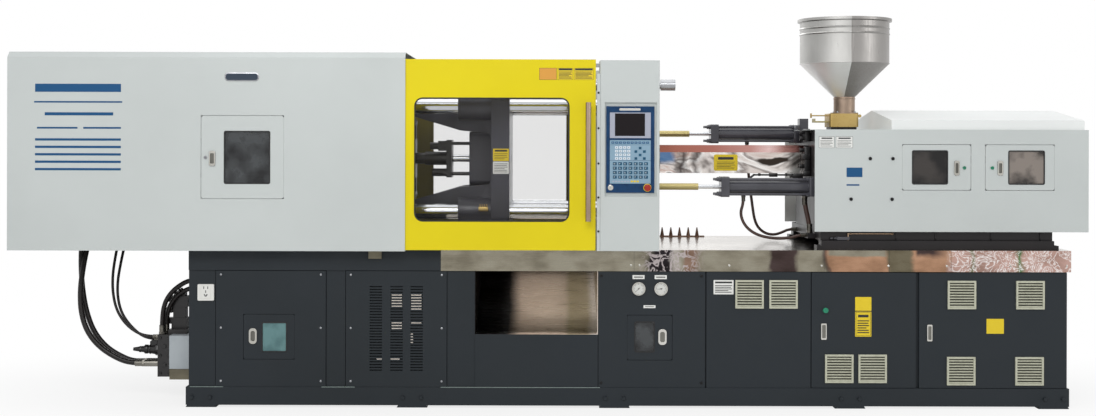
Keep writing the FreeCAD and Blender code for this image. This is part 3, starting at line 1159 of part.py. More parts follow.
def make_barrel_cover():
    """Polished heat guard around the barrel with a front plate bored for it."""
    length = BARREL_COVER_X[1] - BARREL_COVER_X[0]
    outer = extrude_polygon(barrel_cover_outline(BARREL_COVER_X[0], 0), (length, 0, 0))
    inner = extrude_polygon(barrel_cover_outline(BARREL_COVER_X[0] + 2, 2), (length, 0, 0))
    passage = bar_x((BARREL_COVER_X[0] - 1, BARREL_COVER_X[0] + 4), 0, AXIS_Z, BARREL_RADIUS + 2)
    tabs = [box((x, x + 12), (-BARREL_COVER_HALF_Y + 2, BARREL_COVER_HALF_Y - 2), (AXIS_Z - 64, AXIS_Z - 60))
            for x in (BAND_FIRST_X + 100, BAND_FIRST_X + 100 + 4 * BAND_PITCH)]
    posts = [box((x, x + 12), (-20, 20), (AXIS_Z - 62, AXIS_Z - BARREL_RADIUS + 4))
             for x in (BAND_FIRST_X + 100, BAND_FIRST_X + 100 + 4 * BAND_PITCH)]
    shell = outer.cut(inner).cut(passage)
    struts = fuse(tabs + posts).cut(bar_x((SCREW_TIP_X, BULKHEAD_X[0]), 0, AXIS_Z, BARREL_RADIUS))
    return fuse([shell, struts])


def traverse_cylinder(axis):
    """Traverse cylinder: square flange with stud nuts, ribbed tube and end cap, bored for its rod."""
    y, z = axis
    half = TRAVERSE_FLANGE / 2
    left, right = TRAVERSE_X
    flange_x = (left, left + TRAVERSE_FLANGE_THICK)
    cap_x = (right - TRAVERSE_CAP_THICK, right)
    pieces = [
        plate_x(flange_x, (y - half, y + half), (z - half, z + half), 10),
        plate_x(cap_x, (y - half + 4, y + half - 4), (z - half + 4, z + half - 4), 10),
        bar_x((flange_x[1] - 1, cap_x[0] + 1), y, z, TRAVERSE_BODY_R),
    ]
    reach = half - 15
    for sy in (-1, 1):
        for sz in (-1, 1):
            stud = bar_x((left - 34, right - 2), y + sy * reach, z + sz * reach, TIE_STUD_R)
            nut = bar_x((left - 14, left), y + sy * reach, z + sz * reach, TIE_STUD_R + 5)
            pieces += [stud, nut]
    body = fuse(pieces)
    bore = bar_x((left + 20, right - 20), y, z, TRAVERSE_BORE_R)
    gland = bar_x((left - 1, left + 21), y, z, TRAVERSE_ROD_R + SLIDE_GAP)
    return cut(body, [bore, gland])


def make_traverse_cylinders():
    """Both traverse cylinders with their hose ports; the far one has a block on the bulkhead."""
    near = traverse_cylinder(TRAVERSE_NEAR)
    far = traverse_cylinder(TRAVERSE_FAR)
    ports = [post_z(route[0][0], route[0][1], (route[0][2], route[0][2] + 22), size / 2 + 4)
             for route, size in ((TRAVERSE_HOSES[0], TRAVERSE_HOSE_D), (REAR_PORT_HOSE, REAR_PORT_HOSE_D))]
    far_port = TRAVERSE_HOSES[1][0]
    far_ports = [post_z(far_port[0], far_port[1], (far_port[2], far_port[2] + 22), TRAVERSE_HOSE_D / 2 + 4)]
    bores = [bar_x((axis_x[0], axis_x[1]), axis[0], axis[1], TRAVERSE_BORE_R)
             for axis in (TRAVERSE_NEAR, TRAVERSE_FAR) for axis_x in ((TRAVERSE_X[0] + 20, TRAVERSE_X[1] - 20),)]
    near = cut(fuse([near] + ports), bores)
    far = cut(fuse([far] + far_ports), bores)
    block = box((BULKHEAD_X[0], BULKHEAD_X[1]), (215, 285), (BULKHEAD_TOP, 1531))
    return [near, far, block]


def make_traverse_rods():
    """Rods of the traverse cylinders, held in sleeves on the fixed platen."""
    rods = []
    for y, z in (TRAVERSE_NEAR, TRAVERSE_FAR):
        sleeve = bar_x((FIXED_PLATEN_X[1], SLEEVE_END_X), y, z, SLEEVE_RADIUS)
        rod = bar_x((FIXED_PLATEN_X[1], TRAVERSE_ROD_END_X), y, z, TRAVERSE_ROD_R)
        piston = bar_x((TRAVERSE_ROD_END_X - 30, TRAVERSE_ROD_END_X), y, z, TRAVERSE_BORE_R - SLIDE_GAP)
        rods.append(fuse([sleeve, rod, piston]))
    return rods


def revolve_z(x, y, points):
    """Ring or shell from an outline of radius and height pairs."""
    corners = [Vector(radius, 0, z) for radius, z in points]
    face = Part.Face(Part.makePolygon(corners + [corners[0]]))
    solid = face.revolve(Vector(0, 0, 0), Vector(0, 0, 1), 360)
    solid.translate(Vector(x, y, 0))
    return solid


def make_hopper():
    """Sheet hopper: beaded cylinder with a rolled rim, cone, and a neck with a flange, welded together."""
    wall = HOPPER_WALL
    bead = 4.0
    outer = [(HOPPER_CYLINDER_R, HOPPER_SHOULDER_Z)]
    for z in HOPPER_BEAD_Z:
        outer += [(HOPPER_CYLINDER_R, z - 6), (HOPPER_CYLINDER_R + bead, z), (HOPPER_CYLINDER_R, z + 6)]
    outer += [(HOPPER_CYLINDER_R, HOPPER_RIM_Z - 12), (HOPPER_RIM_R, HOPPER_RIM_Z - 8), (HOPPER_RIM_R, HOPPER_RIM_Z)]
    drum = [(HOPPER_CYLINDER_R - wall, HOPPER_RIM_Z), (HOPPER_CYLINDER_R - wall, HOPPER_SHOULDER_Z)] + outer
    cone = [(HOPPER_CYLINDER_R - wall, HOPPER_SHOULDER_Z), (HOPPER_NECK_R - wall, HOPPER_CONE_Z),
            (HOPPER_NECK_R, HOPPER_CONE_Z), (HOPPER_CYLINDER_R, HOPPER_SHOULDER_Z)]
    neck = [(HOPPER_NECK_R - wall, HOPPER_CONE_Z), (HOPPER_NECK_R - wall, HOPPER_NECK_Z),
            (HOPPER_NECK_R + 18, HOPPER_NECK_Z), (HOPPER_NECK_R + 18, HOPPER_NECK_Z + 6),
            (HOPPER_NECK_R, HOPPER_NECK_Z + 6), (HOPPER_NECK_R, HOPPER_CONE_Z)]
    return [revolve_z(HOPPER_X, 0, shell) for shell in (drum, cone, neck)]


def make_hopper_lid():
    """Shallow domed lid that rests on the hopper's rim."""
    bottom = HOPPER_RIM_Z
    points = [(0, bottom + LID_RISE - 2), (90, bottom + LID_RISE - 5), (HOPPER_CYLINDER_R - 8, bottom + 6),
              (HOPPER_CYLINDER_R - 8, bottom - 10), (HOPPER_CYLINDER_R - 5, bottom - 10),
              (HOPPER_CYLINDER_R - 5, bottom), (HOPPER_RIM_R, bottom), (HOPPER_RIM_R, bottom + 7),
              (HOPPER_CYLINDER_R - 6, bottom + 9), (90, bottom + LID_RISE - 2), (0, bottom + LID_RISE + 1)]
    return revolve_z(HOPPER_X, 0, points)


def make_hopper_seat():
    """Cast block under the hopper with its gate's slot, a T-handled clamp screw and a stop."""
    block = box(SEAT_X, (-SEAT_HALF_Y, SEAT_HALF_Y), SEAT_Z)
    upright = [edge for edge in block.Edges if abs(edge.tangentAt(0).z) > 0.99]
    block = block.makeFillet(14, upright)
    throat = post_z(HOPPER_X, 0, grow(SEAT_Z, 1), THROAT_RADIUS)
    slot = box((SEAT_X[0] - 1, SEAT_X[1] - 5), (-GATE_HALF_Y - 1, GATE_HALF_Y + 1), grow(GATE_Z, SLIDE_GAP))
    stop = disc_y(SEAT_X[1] + 22, SEAT_Z[1] - 12, 9, (-5, 5))
    stem = bar_x((SEAT_X[1], SEAT_X[1] + 22), 0, SEAT_Z[1] - 12, 4)
    screw = bar_x((SEAT_X[0] - CLAMP_SCREW_REACH, SEAT_X[0]), 0, SEAT_Z[1] - 11, 3.5)
    tee = post_z(SEAT_X[0] - CLAMP_SCREW_REACH, 0, (SEAT_Z[1] - 24, SEAT_Z[1] + 2), 5)
    return [cut(block, [throat, slot]), fuse([stem, stop]), fuse([screw, tee])]


def make_hopper_gate():
    """Shut-off slide, pulled out as stored, with a turned-up lip at its outer end."""
    blade = box(GATE_X, (-GATE_HALF_Y, GATE_HALF_Y), GATE_Z)
    lip = box((GATE_X[0], GATE_X[0] + GATE_LIP[0]), (-GATE_HALF_Y, GATE_HALF_Y), (GATE_Z[0], GATE_Z[1] + GATE_LIP[1]))
    return fuse([blade, lip])


def make_injection_drive():
    """Drive plate on the guide rods with the screw's hydraulic motor behind it."""
    plate = box(DRIVE_X, (-230, 230), (AXIS_Z - 110, AXIS_Z + 110))
    motor = bar_x((DRIVE_X[1] - 1, MOTOR_END_X - 60), 0, AXIS_Z, 88)
    neck = bar_x((MOTOR_END_X - 61, MOTOR_END_X), 0, AXIS_Z, 60)
    ports = [post_z(MOTOR_END_X - 110, y, (AXIS_Z + 60, AXIS_Z + 118), 20) for y in (-34, 34)]
    tools = [bar_x(grow(DRIVE_X, 1), side * GUIDE_ROD_Y, AXIS_Z, GUIDE_ROD_R + SLIDE_GAP) for side in (-1, 1)]
    tools.append(bar_x(grow(DRIVE_X, 20), 0, AXIS_Z, SCREW_RADIUS + SLIDE_GAP))
    return cut(fuse([plate, motor, neck] + ports), tools)


def make_screw():
    """Screw shank with a pointed tip and a spline end in the drive."""
    tip = cone_x((SCREW_TIP_X, SCREW_TIP_X + 45), 0, AXIS_Z, (3, SCREW_RADIUS - 2))
    shank = bar_x((SCREW_TIP_X + 45, FEED_BLOCK_X[1] - 100), 0, AXIS_Z, SCREW_RADIUS - 4)
    lands = [bar_x((x, x + 14), 0, AXIS_Z, SCREW_RADIUS)
             for x in (SCREW_TIP_X + 50, FEED_BLOCK_X[1] - 101)]
    end = bar_x((FEED_BLOCK_X[1] - 100, DRIVE_X[1] + 15), 0, AXIS_Z, SCREW_RADIUS)
    return fuse([tip, shank] + lands + [end])


# ---- service parts -----------------------------------------------------------------------------------------------------
def flush_door(x, z, face_y, window_x, window_z, pull_x, pull_z, lock, hinge_side):
    """Flush sheet door in a cover: window pane behind an opening, cupped pull and a cam lock."""
    gaps = (HINGE_GAP, 2.0) if hinge_side < 0 else (2.0, HINGE_GAP)
    leaf = plate_y((x[0] + gaps[0], x[1] - gaps[1]), grow(z, -2), (-face_y, -face_y + SHEET), 12)
    opening = plate_y(window_x, window_z, (-face_y - 1, 0), 10)
    pane = box(grow(window_x, 10), (-face_y + SHEET, -face_y + 2 * SHEET), grow(window_z, 10))
    pull = plate_y(pull_x, pull_z, (-face_y - 6, -face_y), 8)
    cup = plate_y(grow(pull_x, -6), grow(pull_z, -12), (-face_y - 7, -face_y - 2), 4)
    cam = disc_y(lock[0], lock[1], 9, (-face_y - 4, -face_y))
    return [leaf.cut(opening), pane, pull.cut(cup), cam]


def make_valve_group():
    """Manifold on the oil box's end with a valve stack, a pilot cone valve and hose fittings."""
    y = (UNIT_Y - MANIFOLD_HALF_Y, UNIT_Y + MANIFOLD_HALF_Y)
    pieces = [box(MANIFOLD_X, y, MANIFOLD_Z)]
    stack_y = (UNIT_Y + 20, UNIT_Y + 84)
    base = box((MANIFOLD_X[1] - 24, OIL_BOX_X[0] + 78), (UNIT_Y - 30, UNIT_Y + 90), (STACK_Z[0], STACK_Z[0] + 24))
    pieces.append(base)
    heights = (24, 82, 140, 200, 225)
    widths = (0, 8, -4, 12)
    for low, high, inset in zip(heights, heights[1:], widths):
        pieces.append(box(grow(STACK_X, -inset), grow(stack_y, -max(inset, 0) / 2), (STACK_Z[0] + low, STACK_Z[0] + high)))
    cone_x0 = MANIFOLD_X[0] - CONE_VALVE_LENGTH
    pieces.append(cone_x((cone_x0, MANIFOLD_X[0]), UNIT_Y + 20, CONE_VALVE_Z, (CONE_VALVE_R[1], CONE_VALVE_R[0])))
    for route in CLAMP_HOSES:
        end = route[-1]
        pieces.append(bar_x((end[0], end[0] + FERRULE_LENGTH), end[1], end[2], CLAMP_HOSE_D / 2 + 4))
    for route in PILOT_HOSES:
        end = route[-1]
        pieces.append(bar_x((end[0], end[0] + 30), end[1], end[2], PILOT_HOSE_D / 2 + 4))
    for route in PUMP_HOSES:
        end = route[-1]
        pieces.append(post_z(end[0], end[1], (end[2] - 40, end[2]), PUMP_HOSE_D / 2 + 3))
    return fuse(pieces)


def make_oil_box():
    """Filter housing on the base's end with its sump below."""
    y = (UNIT_Y - OIL_BOX_HALF_Y, UNIT_Y + OIL_BOX_HALF_Y)
    upper = box(OIL_BOX_X, y, OIL_BOX_Z)
    sump = box((OIL_BOX_X[0], BASE_X[0]), grow(y, -4), OIL_SUMP_Z)
    return [upper, sump]


WATER_BAR_X = (640.0, 905.0)
WATER_Y = BASE_HALF_Y - 60.0
WATER_PITCH = 52.0
WATER_CONES = 5


def make_water_manifold():
    """Cooling water bar at the deck's far edge with five tapered connectors."""
    bar = box(WATER_BAR_X, (WATER_Y - 12, WATER_Y + 12), (DECK_TOP, DECK_TOP + 6))
    cones = []
    for index in range(WATER_CONES):
        x = WATER_BAR_X[0] + 14 + index * WATER_PITCH
        cones.append(Part.makeCone(12, 3, 50, Vector(x, WATER_Y, DECK_TOP + 5), Vector(0, 0, 1)))
    return fuse([bar] + cones)


# ---- all sub-parts --------------------------------------------------------------------------------------------------------
save("base_frame", *make_base(), *make_feet())
save("base_panels", *make_panels())
save("vent_panel", make_vent_panel())
save("parts_chute", make_chute())
save("deck", *make_deck())
save("pressure_gauges", *make_gauges())
save("switchgear", *make_switchgear())
save("hatch_left", *small_door(HATCH_LEFT_X, (-1595, -1554), (-1529, -1397), (289, 446), 1))
save("hatch_right", *small_door(HATCH_RIGHT_X, (551, 594), (426, 532), (292, 454), -1))
save("cabinet_door_b", *cabinet_door(CABINET_B_X, ((1425, 135), (1600, 135)), (1404, 1433), (361, 446), (1427, 515)))
save("cabinet_door_c", *cabinet_door(CABINET_C_X, ((2067, 523), (2426, 523), (2064, 124), (2422, 124)),
                                     (1960, 1987), (354, 441)))

save("clamp_cover", make_clamp_cover())
save("clamp_hatch", *flush_door(CLAMP_HATCH_X, CLAMP_HATCH_Z, COVER_HALF_Y, (-1710, -1471), (1173, 1447),
                                (-1787, -1755), (1266, 1343), (-1806, 1309), 1))
save("guard_rails", *make_guard_rails())
save("front_guard", make_guard())
save("front_window", make_window())
save("front_grip", make_grip())
save("rear_guard", mirrored(make_guard()), mirrored(make_grip()))
save("rear_window", mirrored(make_window()))
save("control_columns", make_column(True), make_column(False))
save("console", *make_console())
save("console_keys", *make_keys())
save("stop_button", make_stop_button())
save("key_switch", make_key_switch())

save("fixed_platen", make_fixed_platen())
save("rear_platen", make_rear_platen())
save("moving_platen", make_moving_platen())
save("safety_bar", make_safety_bar())
save("tie_bars", *make_tie_bars())
save("clamp_cylinder", make_clamp_cylinder())
save("crosshead", make_crosshead())
for name, make_link in (("rear_link", make_rear_link), ("front_link", make_front_link),
                        ("short_link", make_short_link)):
    link = make_link()
    plates = link if isinstance(link, list) else [link]
    save("upper_" + name, *plates)
    save("lower_" + name, *[upside_down(plate) for plate in plates])
save("ejector_unit", make_ejector_unit())
save("ejector_rod", make_ejector_rod())

save("carriage_rails", *make_carriage_rails())
save("carriage_bed", make_carriage_bed())
save("injection_shroud", make_shroud())
save("shroud_door_left", *flush_door(SHROUD_DOOR_LEFT_X, SHROUD_DOOR_Z, SHROUD_HALF_Y, (1899, 2089), (1174, 1354),
                                     (2122, 2149), (1222, 1299), (2176, 1262), -1))
save("shroud_door_right", *flush_door(SHROUD_DOOR_RIGHT_X, SHROUD_DOOR_Z, SHROUD_HALF_Y, (2409, 2602), (1174, 1354),
                                      (2352, 2380), (1222, 1299), (2324, 1262), 1))
save("barrel", make_barrel())
save("barrel_cover", make_barrel_cover())
save("screw", make_screw())
save("injection_drive", make_injection_drive())
save("traverse_cylinders", *make_traverse_cylinders())
save("traverse_rods", *make_traverse_rods())
save("hopper", *make_hopper())
save("hopper_lid", make_hopper_lid())
save("hopper_seat", *make_hopper_seat())
save("hopper_gate", make_hopper_gate())

save("valve_group", make_valve_group(), *make_oil_box())
save("water_manifold", make_water_manifold())
save("clamp_hoses", *[hose(route, CLAMP_HOSE_D, "clamp hose") for route in CLAMP_HOSES])
save("pilot_hoses", *[hose(route, PILOT_HOSE_D, "pilot hose") for route in PILOT_HOSES])
save("pump_hoses", *[hose(route, PUMP_HOSE_D, "pump hose") for route in PUMP_HOSES])
save("traverse_hoses", *[hose(route, TRAVERSE_HOSE_D, "traverse hose") for route in TRAVERSE_HOSES],
     hose(REAR_PORT_HOSE, REAR_PORT_HOSE_D, "rear port hose"))
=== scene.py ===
"""Injection moulding machine with a toggle clamp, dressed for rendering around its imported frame.

Metres, +Z up. +X runs from the clamp end to the injection end, -Y is the operator's side.
"""
import math

import bmesh
import bpy
from mathutils import Matrix, Vector


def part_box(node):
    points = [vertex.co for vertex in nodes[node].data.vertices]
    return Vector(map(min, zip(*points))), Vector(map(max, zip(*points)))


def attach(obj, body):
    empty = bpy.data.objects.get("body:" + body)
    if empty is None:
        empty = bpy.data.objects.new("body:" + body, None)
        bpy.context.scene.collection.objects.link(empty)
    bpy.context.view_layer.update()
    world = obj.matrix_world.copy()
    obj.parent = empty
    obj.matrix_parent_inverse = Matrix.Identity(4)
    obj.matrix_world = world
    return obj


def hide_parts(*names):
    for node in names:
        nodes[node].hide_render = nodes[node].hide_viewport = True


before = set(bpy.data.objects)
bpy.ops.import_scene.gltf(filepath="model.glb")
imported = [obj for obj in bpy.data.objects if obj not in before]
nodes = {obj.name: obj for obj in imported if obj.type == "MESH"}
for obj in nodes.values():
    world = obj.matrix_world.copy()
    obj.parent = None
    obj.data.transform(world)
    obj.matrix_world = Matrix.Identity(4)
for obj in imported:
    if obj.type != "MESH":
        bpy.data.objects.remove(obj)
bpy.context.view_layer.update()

# ---- places shared with the CAD, in metres --------------------------------------------------
MM = 0.001
COVER_FACE_Y = -0.640          # clamp cover and control column
GUARD_FACE_Y = -0.632
SHROUD_FACE_Y = -0.480
PANEL_FACE_Y = -0.556          # base panels and doors
APRON_FACE_Y = -0.560          # deck apron and plinth
CONSOLE_PLATE_Y = -0.637       # display frame and keypad plate
INTO = 0.0002                  # how far a flat piece reaches into the face that it lies on
FACING = 0.9                   # cosine above which a face or edge counts as lying square to an axis
SKIN = 0.0003                  # margin of the regions below, under the thinnest step between two faces
HOPPER_X = 1.638
CLAMP_WINDOW = ((-1.710, -1.471), (1.173, 1.447))            # X and Z spans of the window cut-outs
SHROUD_WINDOW_Z = (1.174, 1.354)
SHROUD_WINDOWS_X = ((1.899, 2.089), (2.409, 2.602))
HATCH_WINDOWS_X = ((-1.529, -1.397), (0.426, 0.532))
TRAVERSE_AXES = ((-0.250, 1.152), (0.250, 1.442))            # Y and Z of the two traverse cylinders


# ---- colours and nodes ----------------------------------------------------------------------
def linear(code):
    """Linear colour of an sRGB hex value."""
    values = [int(code[i:i + 2], 16) / 255 for i in (1, 3, 5)]
    return tuple(v / 12.92 if v <= 0.04045 else ((v + 0.055) / 1.055) ** 2.4 for v in values) + (1.0,)


def add_node(tree, kind, inputs=None, **settings):
    """One node with its settings; an input is a value or another node's output."""
    node = tree.nodes.new(kind)
    for name, value in settings.items():
        setattr(node, name, value)
    for socket, value in (inputs or {}).items():
        if isinstance(value, bpy.types.NodeSocket):
            tree.links.new(value, node.inputs[socket])
        else:
            node.inputs[socket].default_value = value
    return node


def new_material(name, **surface):
    """Material with an empty tree but for its shader, and the shader's own values."""
    material = bpy.data.materials.new(name)
    material.use_nodes = True
    tree = material.node_tree
    tree.nodes.clear()
    shader = add_node(tree, "ShaderNodeBsdfPrincipled", surface)
    output = add_node(tree, "ShaderNodeOutputMaterial")
    tree.links.new(shader.outputs["BSDF"], output.inputs["Surface"])
    return material, tree, shader


def noise_of(tree, size_mm, detail, stretch=(1.0, 1.0, 1.0)):
    """Noise whose blotches are about size_mm across, drawn out along an axis by stretch."""
    place = add_node(tree, "ShaderNodeTexCoord")
    scale = tuple(1.0 / s for s in stretch)
    mapping = add_node(tree, "ShaderNodeMapping", {"Vector": place.outputs["Object"], "Scale": scale})
    return add_node(tree, "ShaderNodeTexNoise",
                    {"Vector": mapping.outputs["Vector"], "Scale": 500.0 / size_mm, "Detail": detail,
                     "Roughness": 0.5})


def ramp_of(tree, factor, stops):
    """Colour ramp from (position, hex or grey) stops."""
    ramp = add_node(tree, "ShaderNodeValToRGB", {"Fac": factor})
    elements = ramp.color_ramp.elements
    while len(elements) < len(stops):
        elements.new(0.5)
    for element, (position, colour) in zip(elements, stops):
        element.position = position
        element.color = linear(colour) if isinstance(colour, str) else (colour, colour, colour, 1.0)
    return ramp


def feed(tree, shader, socket, noise, stops):
    """Drives a value of the shader by noise through a ramp."""
    ramp = ramp_of(tree, noise.outputs["Fac"], stops)
    tree.links.new(ramp.outputs["Color"], shader.inputs[socket])


def relieve(tree, shader, edge_mm, samples, *layers):
    """Rounded edges and, over them, layers of relief: (noise, depth in mm, strength)."""
    normal = add_node(tree, "ShaderNodeBevel", {"Radius": edge_mm * MM}, samples=samples)
    for height, depth_mm, strength in layers:
        normal = add_node(tree, "ShaderNodeBump",
                          {"Height": height.outputs["Fac"], "Distance": depth_mm * MM, "Strength": strength,
                           "Normal": normal.outputs["Normal"]})
    tree.links.new(normal.outputs["Normal"], shader.inputs["Normal"])


def painted(name, colour, darker, rough, grain_mm, grain_depth, edge_mm=1.2, cloud_mm=420.0, ior=1.5):
    """Paint on sheet or castings: soft cloudiness, orange peel, rounded edges."""
    material, tree, shader = new_material(name, IOR=ior)
    feed(tree, shader, "Base Color", noise_of(tree, cloud_mm, 4.0), [(0.30, darker), (0.62, colour)])
    feed(tree, shader, "Roughness", noise_of(tree, 90.0, 5.0),
         [(0.3, rough * 0.86), (0.7, min(1.0, rough * 1.16))])
    relieve(tree, shader, edge_mm, 4, (noise_of(tree, grain_mm, 2.0), grain_depth, 0.6))
    return material


def along(tree, axis, low, high, bend_mm=0.0, size_mm=80.0):
    """0 to 1 between two places on an axis, the lines across it bent by bend_mm either way."""
    place = add_node(tree, "ShaderNodeTexCoord")
    split = add_node(tree, "ShaderNodeSeparateXYZ", {0: place.outputs["Object"]})
    shift = noise_of(tree, size_mm, 4.0)
    bent = add_node(tree, "ShaderNodeMath",
                    {0: shift.outputs["Fac"], 1: 4.0 * bend_mm * MM, 2: split.outputs[axis]},
                    operation="MULTIPLY_ADD")
    edge = 2.0 * bend_mm * MM
    return add_node(tree, "ShaderNodeMapRange", {"Value": bent.outputs[0], "From Min": low + edge,
                                                 "From Max": high + edge}).outputs["Result"]


def vector_math(tree, operation, *vectors):
    """Vector sum, product or length."""
    return add_node(tree, "ShaderNodeVectorMath", dict(enumerate(vectors)), operation=operation)


def blend(tree, factor, under, over, mode="MIX"):
    """Colour of two layers; the factor is how much of the upper one shows."""
    return add_node(tree, "ShaderNodeMix", {0: factor, 6: under, 7: over}, data_type="RGBA",
                    blend_type=mode).outputs[2]


def spread(stops, low, high):
    """Ramp stops given by their place on an axis."""
    return [((place - low) / (high - low), colour) for place, colour in stops]


def metal(name, light, dark, rough, grain_mm, stretch, grain_depth, wave_mm=0.0, wave_depth=0.0,
          tone_of=None):
    """Bare metal: grain drawn out along its finish, waves where it is thin sheet, and a tone of its own."""
    material, tree, shader = new_material(name, Metallic=1.0)
    colour = None
    if light:
        tone = noise_of(tree, 230.0, 4.0)
        colour = ramp_of(tree, tone.outputs["Fac"], [(0.32, dark), (0.66, light)]).outputs["Color"]
    if tone_of:
        colour = tone_of(tree, colour)
    tree.links.new(colour, shader.inputs["Base Color"])
    grain = noise_of(tree, grain_mm, 3.0, stretch)
    feed(tree, shader, "Roughness", grain, [(0.3, rough * 0.75), (0.7, rough * 1.3)])
    layers = [(grain, grain_depth, 0.5)]
    if wave_mm:
        layers.append((noise_of(tree, wave_mm, 2.0), wave_depth, 1.0))
    relieve(tree, shader, 0.8, 4, *layers)
    return material


def plastic(name, colour, rough, fleck_mm=1.6, depth=0.05, darker=None, ior=1.49):
    """Moulded plastic, rubber or print: fine texture, faint unevenness of colour."""
    material, tree, shader = new_material(name, IOR=ior)
    tone = noise_of(tree, 14.0, 4.0)
    feed(tree, shader, "Base Color", tone, [(0.3, darker or colour), (0.6, colour)])
    feed(tree, shader, "Roughness", tone, [(0.3, rough * 0.85), (0.7, min(1.0, rough * 1.15))])
    relieve(tree, shader, 0.6, 3, (noise_of(tree, fleck_mm, 2.0), depth, 0.5))
    return material


# ---- finishes --------------------------------------------------------------------------------
# Polyester powder coat on steel sheet: satin, with a soft orange peel drawn at 5 mm so that it shows.
COVER_COAT = painted("powder_coat_pale_grey", "#C8CDCB", "#C1C6C4", 0.42, 5.0, 0.05)
HOOD_COAT = painted("powder_coat_near_white", "#EFF1EF", "#E9EBE9", 0.40, 5.0, 0.05)
# Two-pack enamel, glossier than the covers, strong lemon yellow.
GUARD_ENAMEL = painted("enamel_lemon_yellow", "#E6D30C", "#DECA08", 0.34, 6.0, 0.04, ior=1.36)
# Painted shade: the lemon enamel darkened to olive for the rear guard's inner faces, which lie in shade.
GUARD_PAINTED_SHADE = painted("yellow_enamel_painted_shade", "#8A7F3A", "#746A30", 0.45, 6.0, 0.06, ior=1.36)
# Textured charcoal coat of the base: matt leather grain at 3 mm, bluish black.
BASE_COAT = painted("textured_coat_charcoal", "#20262B", "#1B2125", 0.50, 3.2, 0.16, ior=1.36)
# Machinery enamel brushed over rough castings: dark slate, lumpy.
CASTING_ENAMEL = painted("machine_enamel_slate", "#3A3A45", "#2B2B34", 0.38, 16.0, 0.35, edge_mm=2.5,
                         cloud_mm=120.0)
# Black oxide and oily paint of valves and slide ways.
VALVE_BLACK = painted("valve_enamel_black", "#1C1A1B", "#121112", 0.34, 7.0, 0.2, edge_mm=1.5, cloud_mm=60.0)
CYLINDER_ENAMEL = painted("cylinder_enamel_grey", "#4C4C53", "#3A3A40", 0.16, 8.0, 0.03, edge_mm=2.0,
                          cloud_mm=80.0)
CARRIAGE_PAINT = painted("machine_enamel_black", "#1C181A", "#131112", 0.36, 9.0, 0.2, edge_mm=2.0,
                         cloud_mm=110.0, ior=1.4)
OIL_BOX_PAINT = painted("enamel_light_blue_grey", "#B9C0C4", "#A9B0B5", 0.40, 5.0, 0.06, cloud_mm=90.0)
SUMP_ALUMINIUM = painted("cast_aluminium_khaki", "#77705C", "#625C4A", 0.55, 4.0, 0.3, cloud_mm=40.0)
# Bright-finished stainless sheet: a mirror that waves, its edge folds rounded.
DECK_STAINLESS = metal("bright_stainless_sheet", "#CFC9C0", "#A79F96", 0.16, 4.0, (14.0, 1.0, 1.0), 0.01,
                       150.0, 1.1)


APRON_X = (-0.590, 2.714)
# Fields of painted reflection on the apron's bright sheet, left to right: brushed grey, a black swirl and a
# brown ring, a dark slant, two tan fields with khaki between them, and crumpled pink with two green streaks.
SHEET_GREY, SHEET_PALE, SWIRL_BLACK, SLANT_BROWN = "#938E7F", "#B9B3AE", "#2D292C", "#4C403F"
RING_BROWN, TAN, KHAKI, PINK, STREAK_GREEN = "#8C7364", "#B48D72", "#6F6856", "#BE9D93", "#4F7A4B"
APRON_REFLECTION_FIELDS = [(-0.590, SHEET_GREY), (0.480, SHEET_GREY), (0.515, SWIRL_BLACK), (0.610, SWIRL_BLACK),
                (0.632, SHEET_PALE), (0.675, SHEET_GREY), (0.700, RING_BROWN), (0.755, RING_BROWN),
                (0.780, SHEET_GREY), (1.125, SHEET_GREY), (1.150, SLANT_BROWN), (1.270, SLANT_BROWN),
                (1.290, SHEET_GREY), (1.412, SHEET_GREY), (1.430, SLANT_BROWN), (1.450, TAN), (1.735, TAN),
                (1.762, KHAKI), (1.872, KHAKI), (1.885, TAN), (2.074, TAN), (2.090, PINK), (2.178, PINK),
                (2.192, STREAK_GREEN), (2.206, PINK), (2.425, PINK), (2.443, STREAK_GREEN), (2.462, PINK)]


def window_of(tree, axis, places, bend_mm=0.0, size_mm=80.0):
    """1 between the two middle places on an axis, falling to 0 at the outer two."""
    low, rise, fall, high = places
    stops = spread([(low, 0.0), (rise, 1.0), (fall, 1.0), (high, 0.0)], low, high)
    return ramp_of(tree, along(tree, axis, low, high, bend_mm, size_mm), stops).outputs["Color"]


def times(tree, first, second):
    """Product of two masks."""
    return add_node(tree, "ShaderNodeMath", {0: first, 1: second}, operation="MULTIPLY").outputs[0]


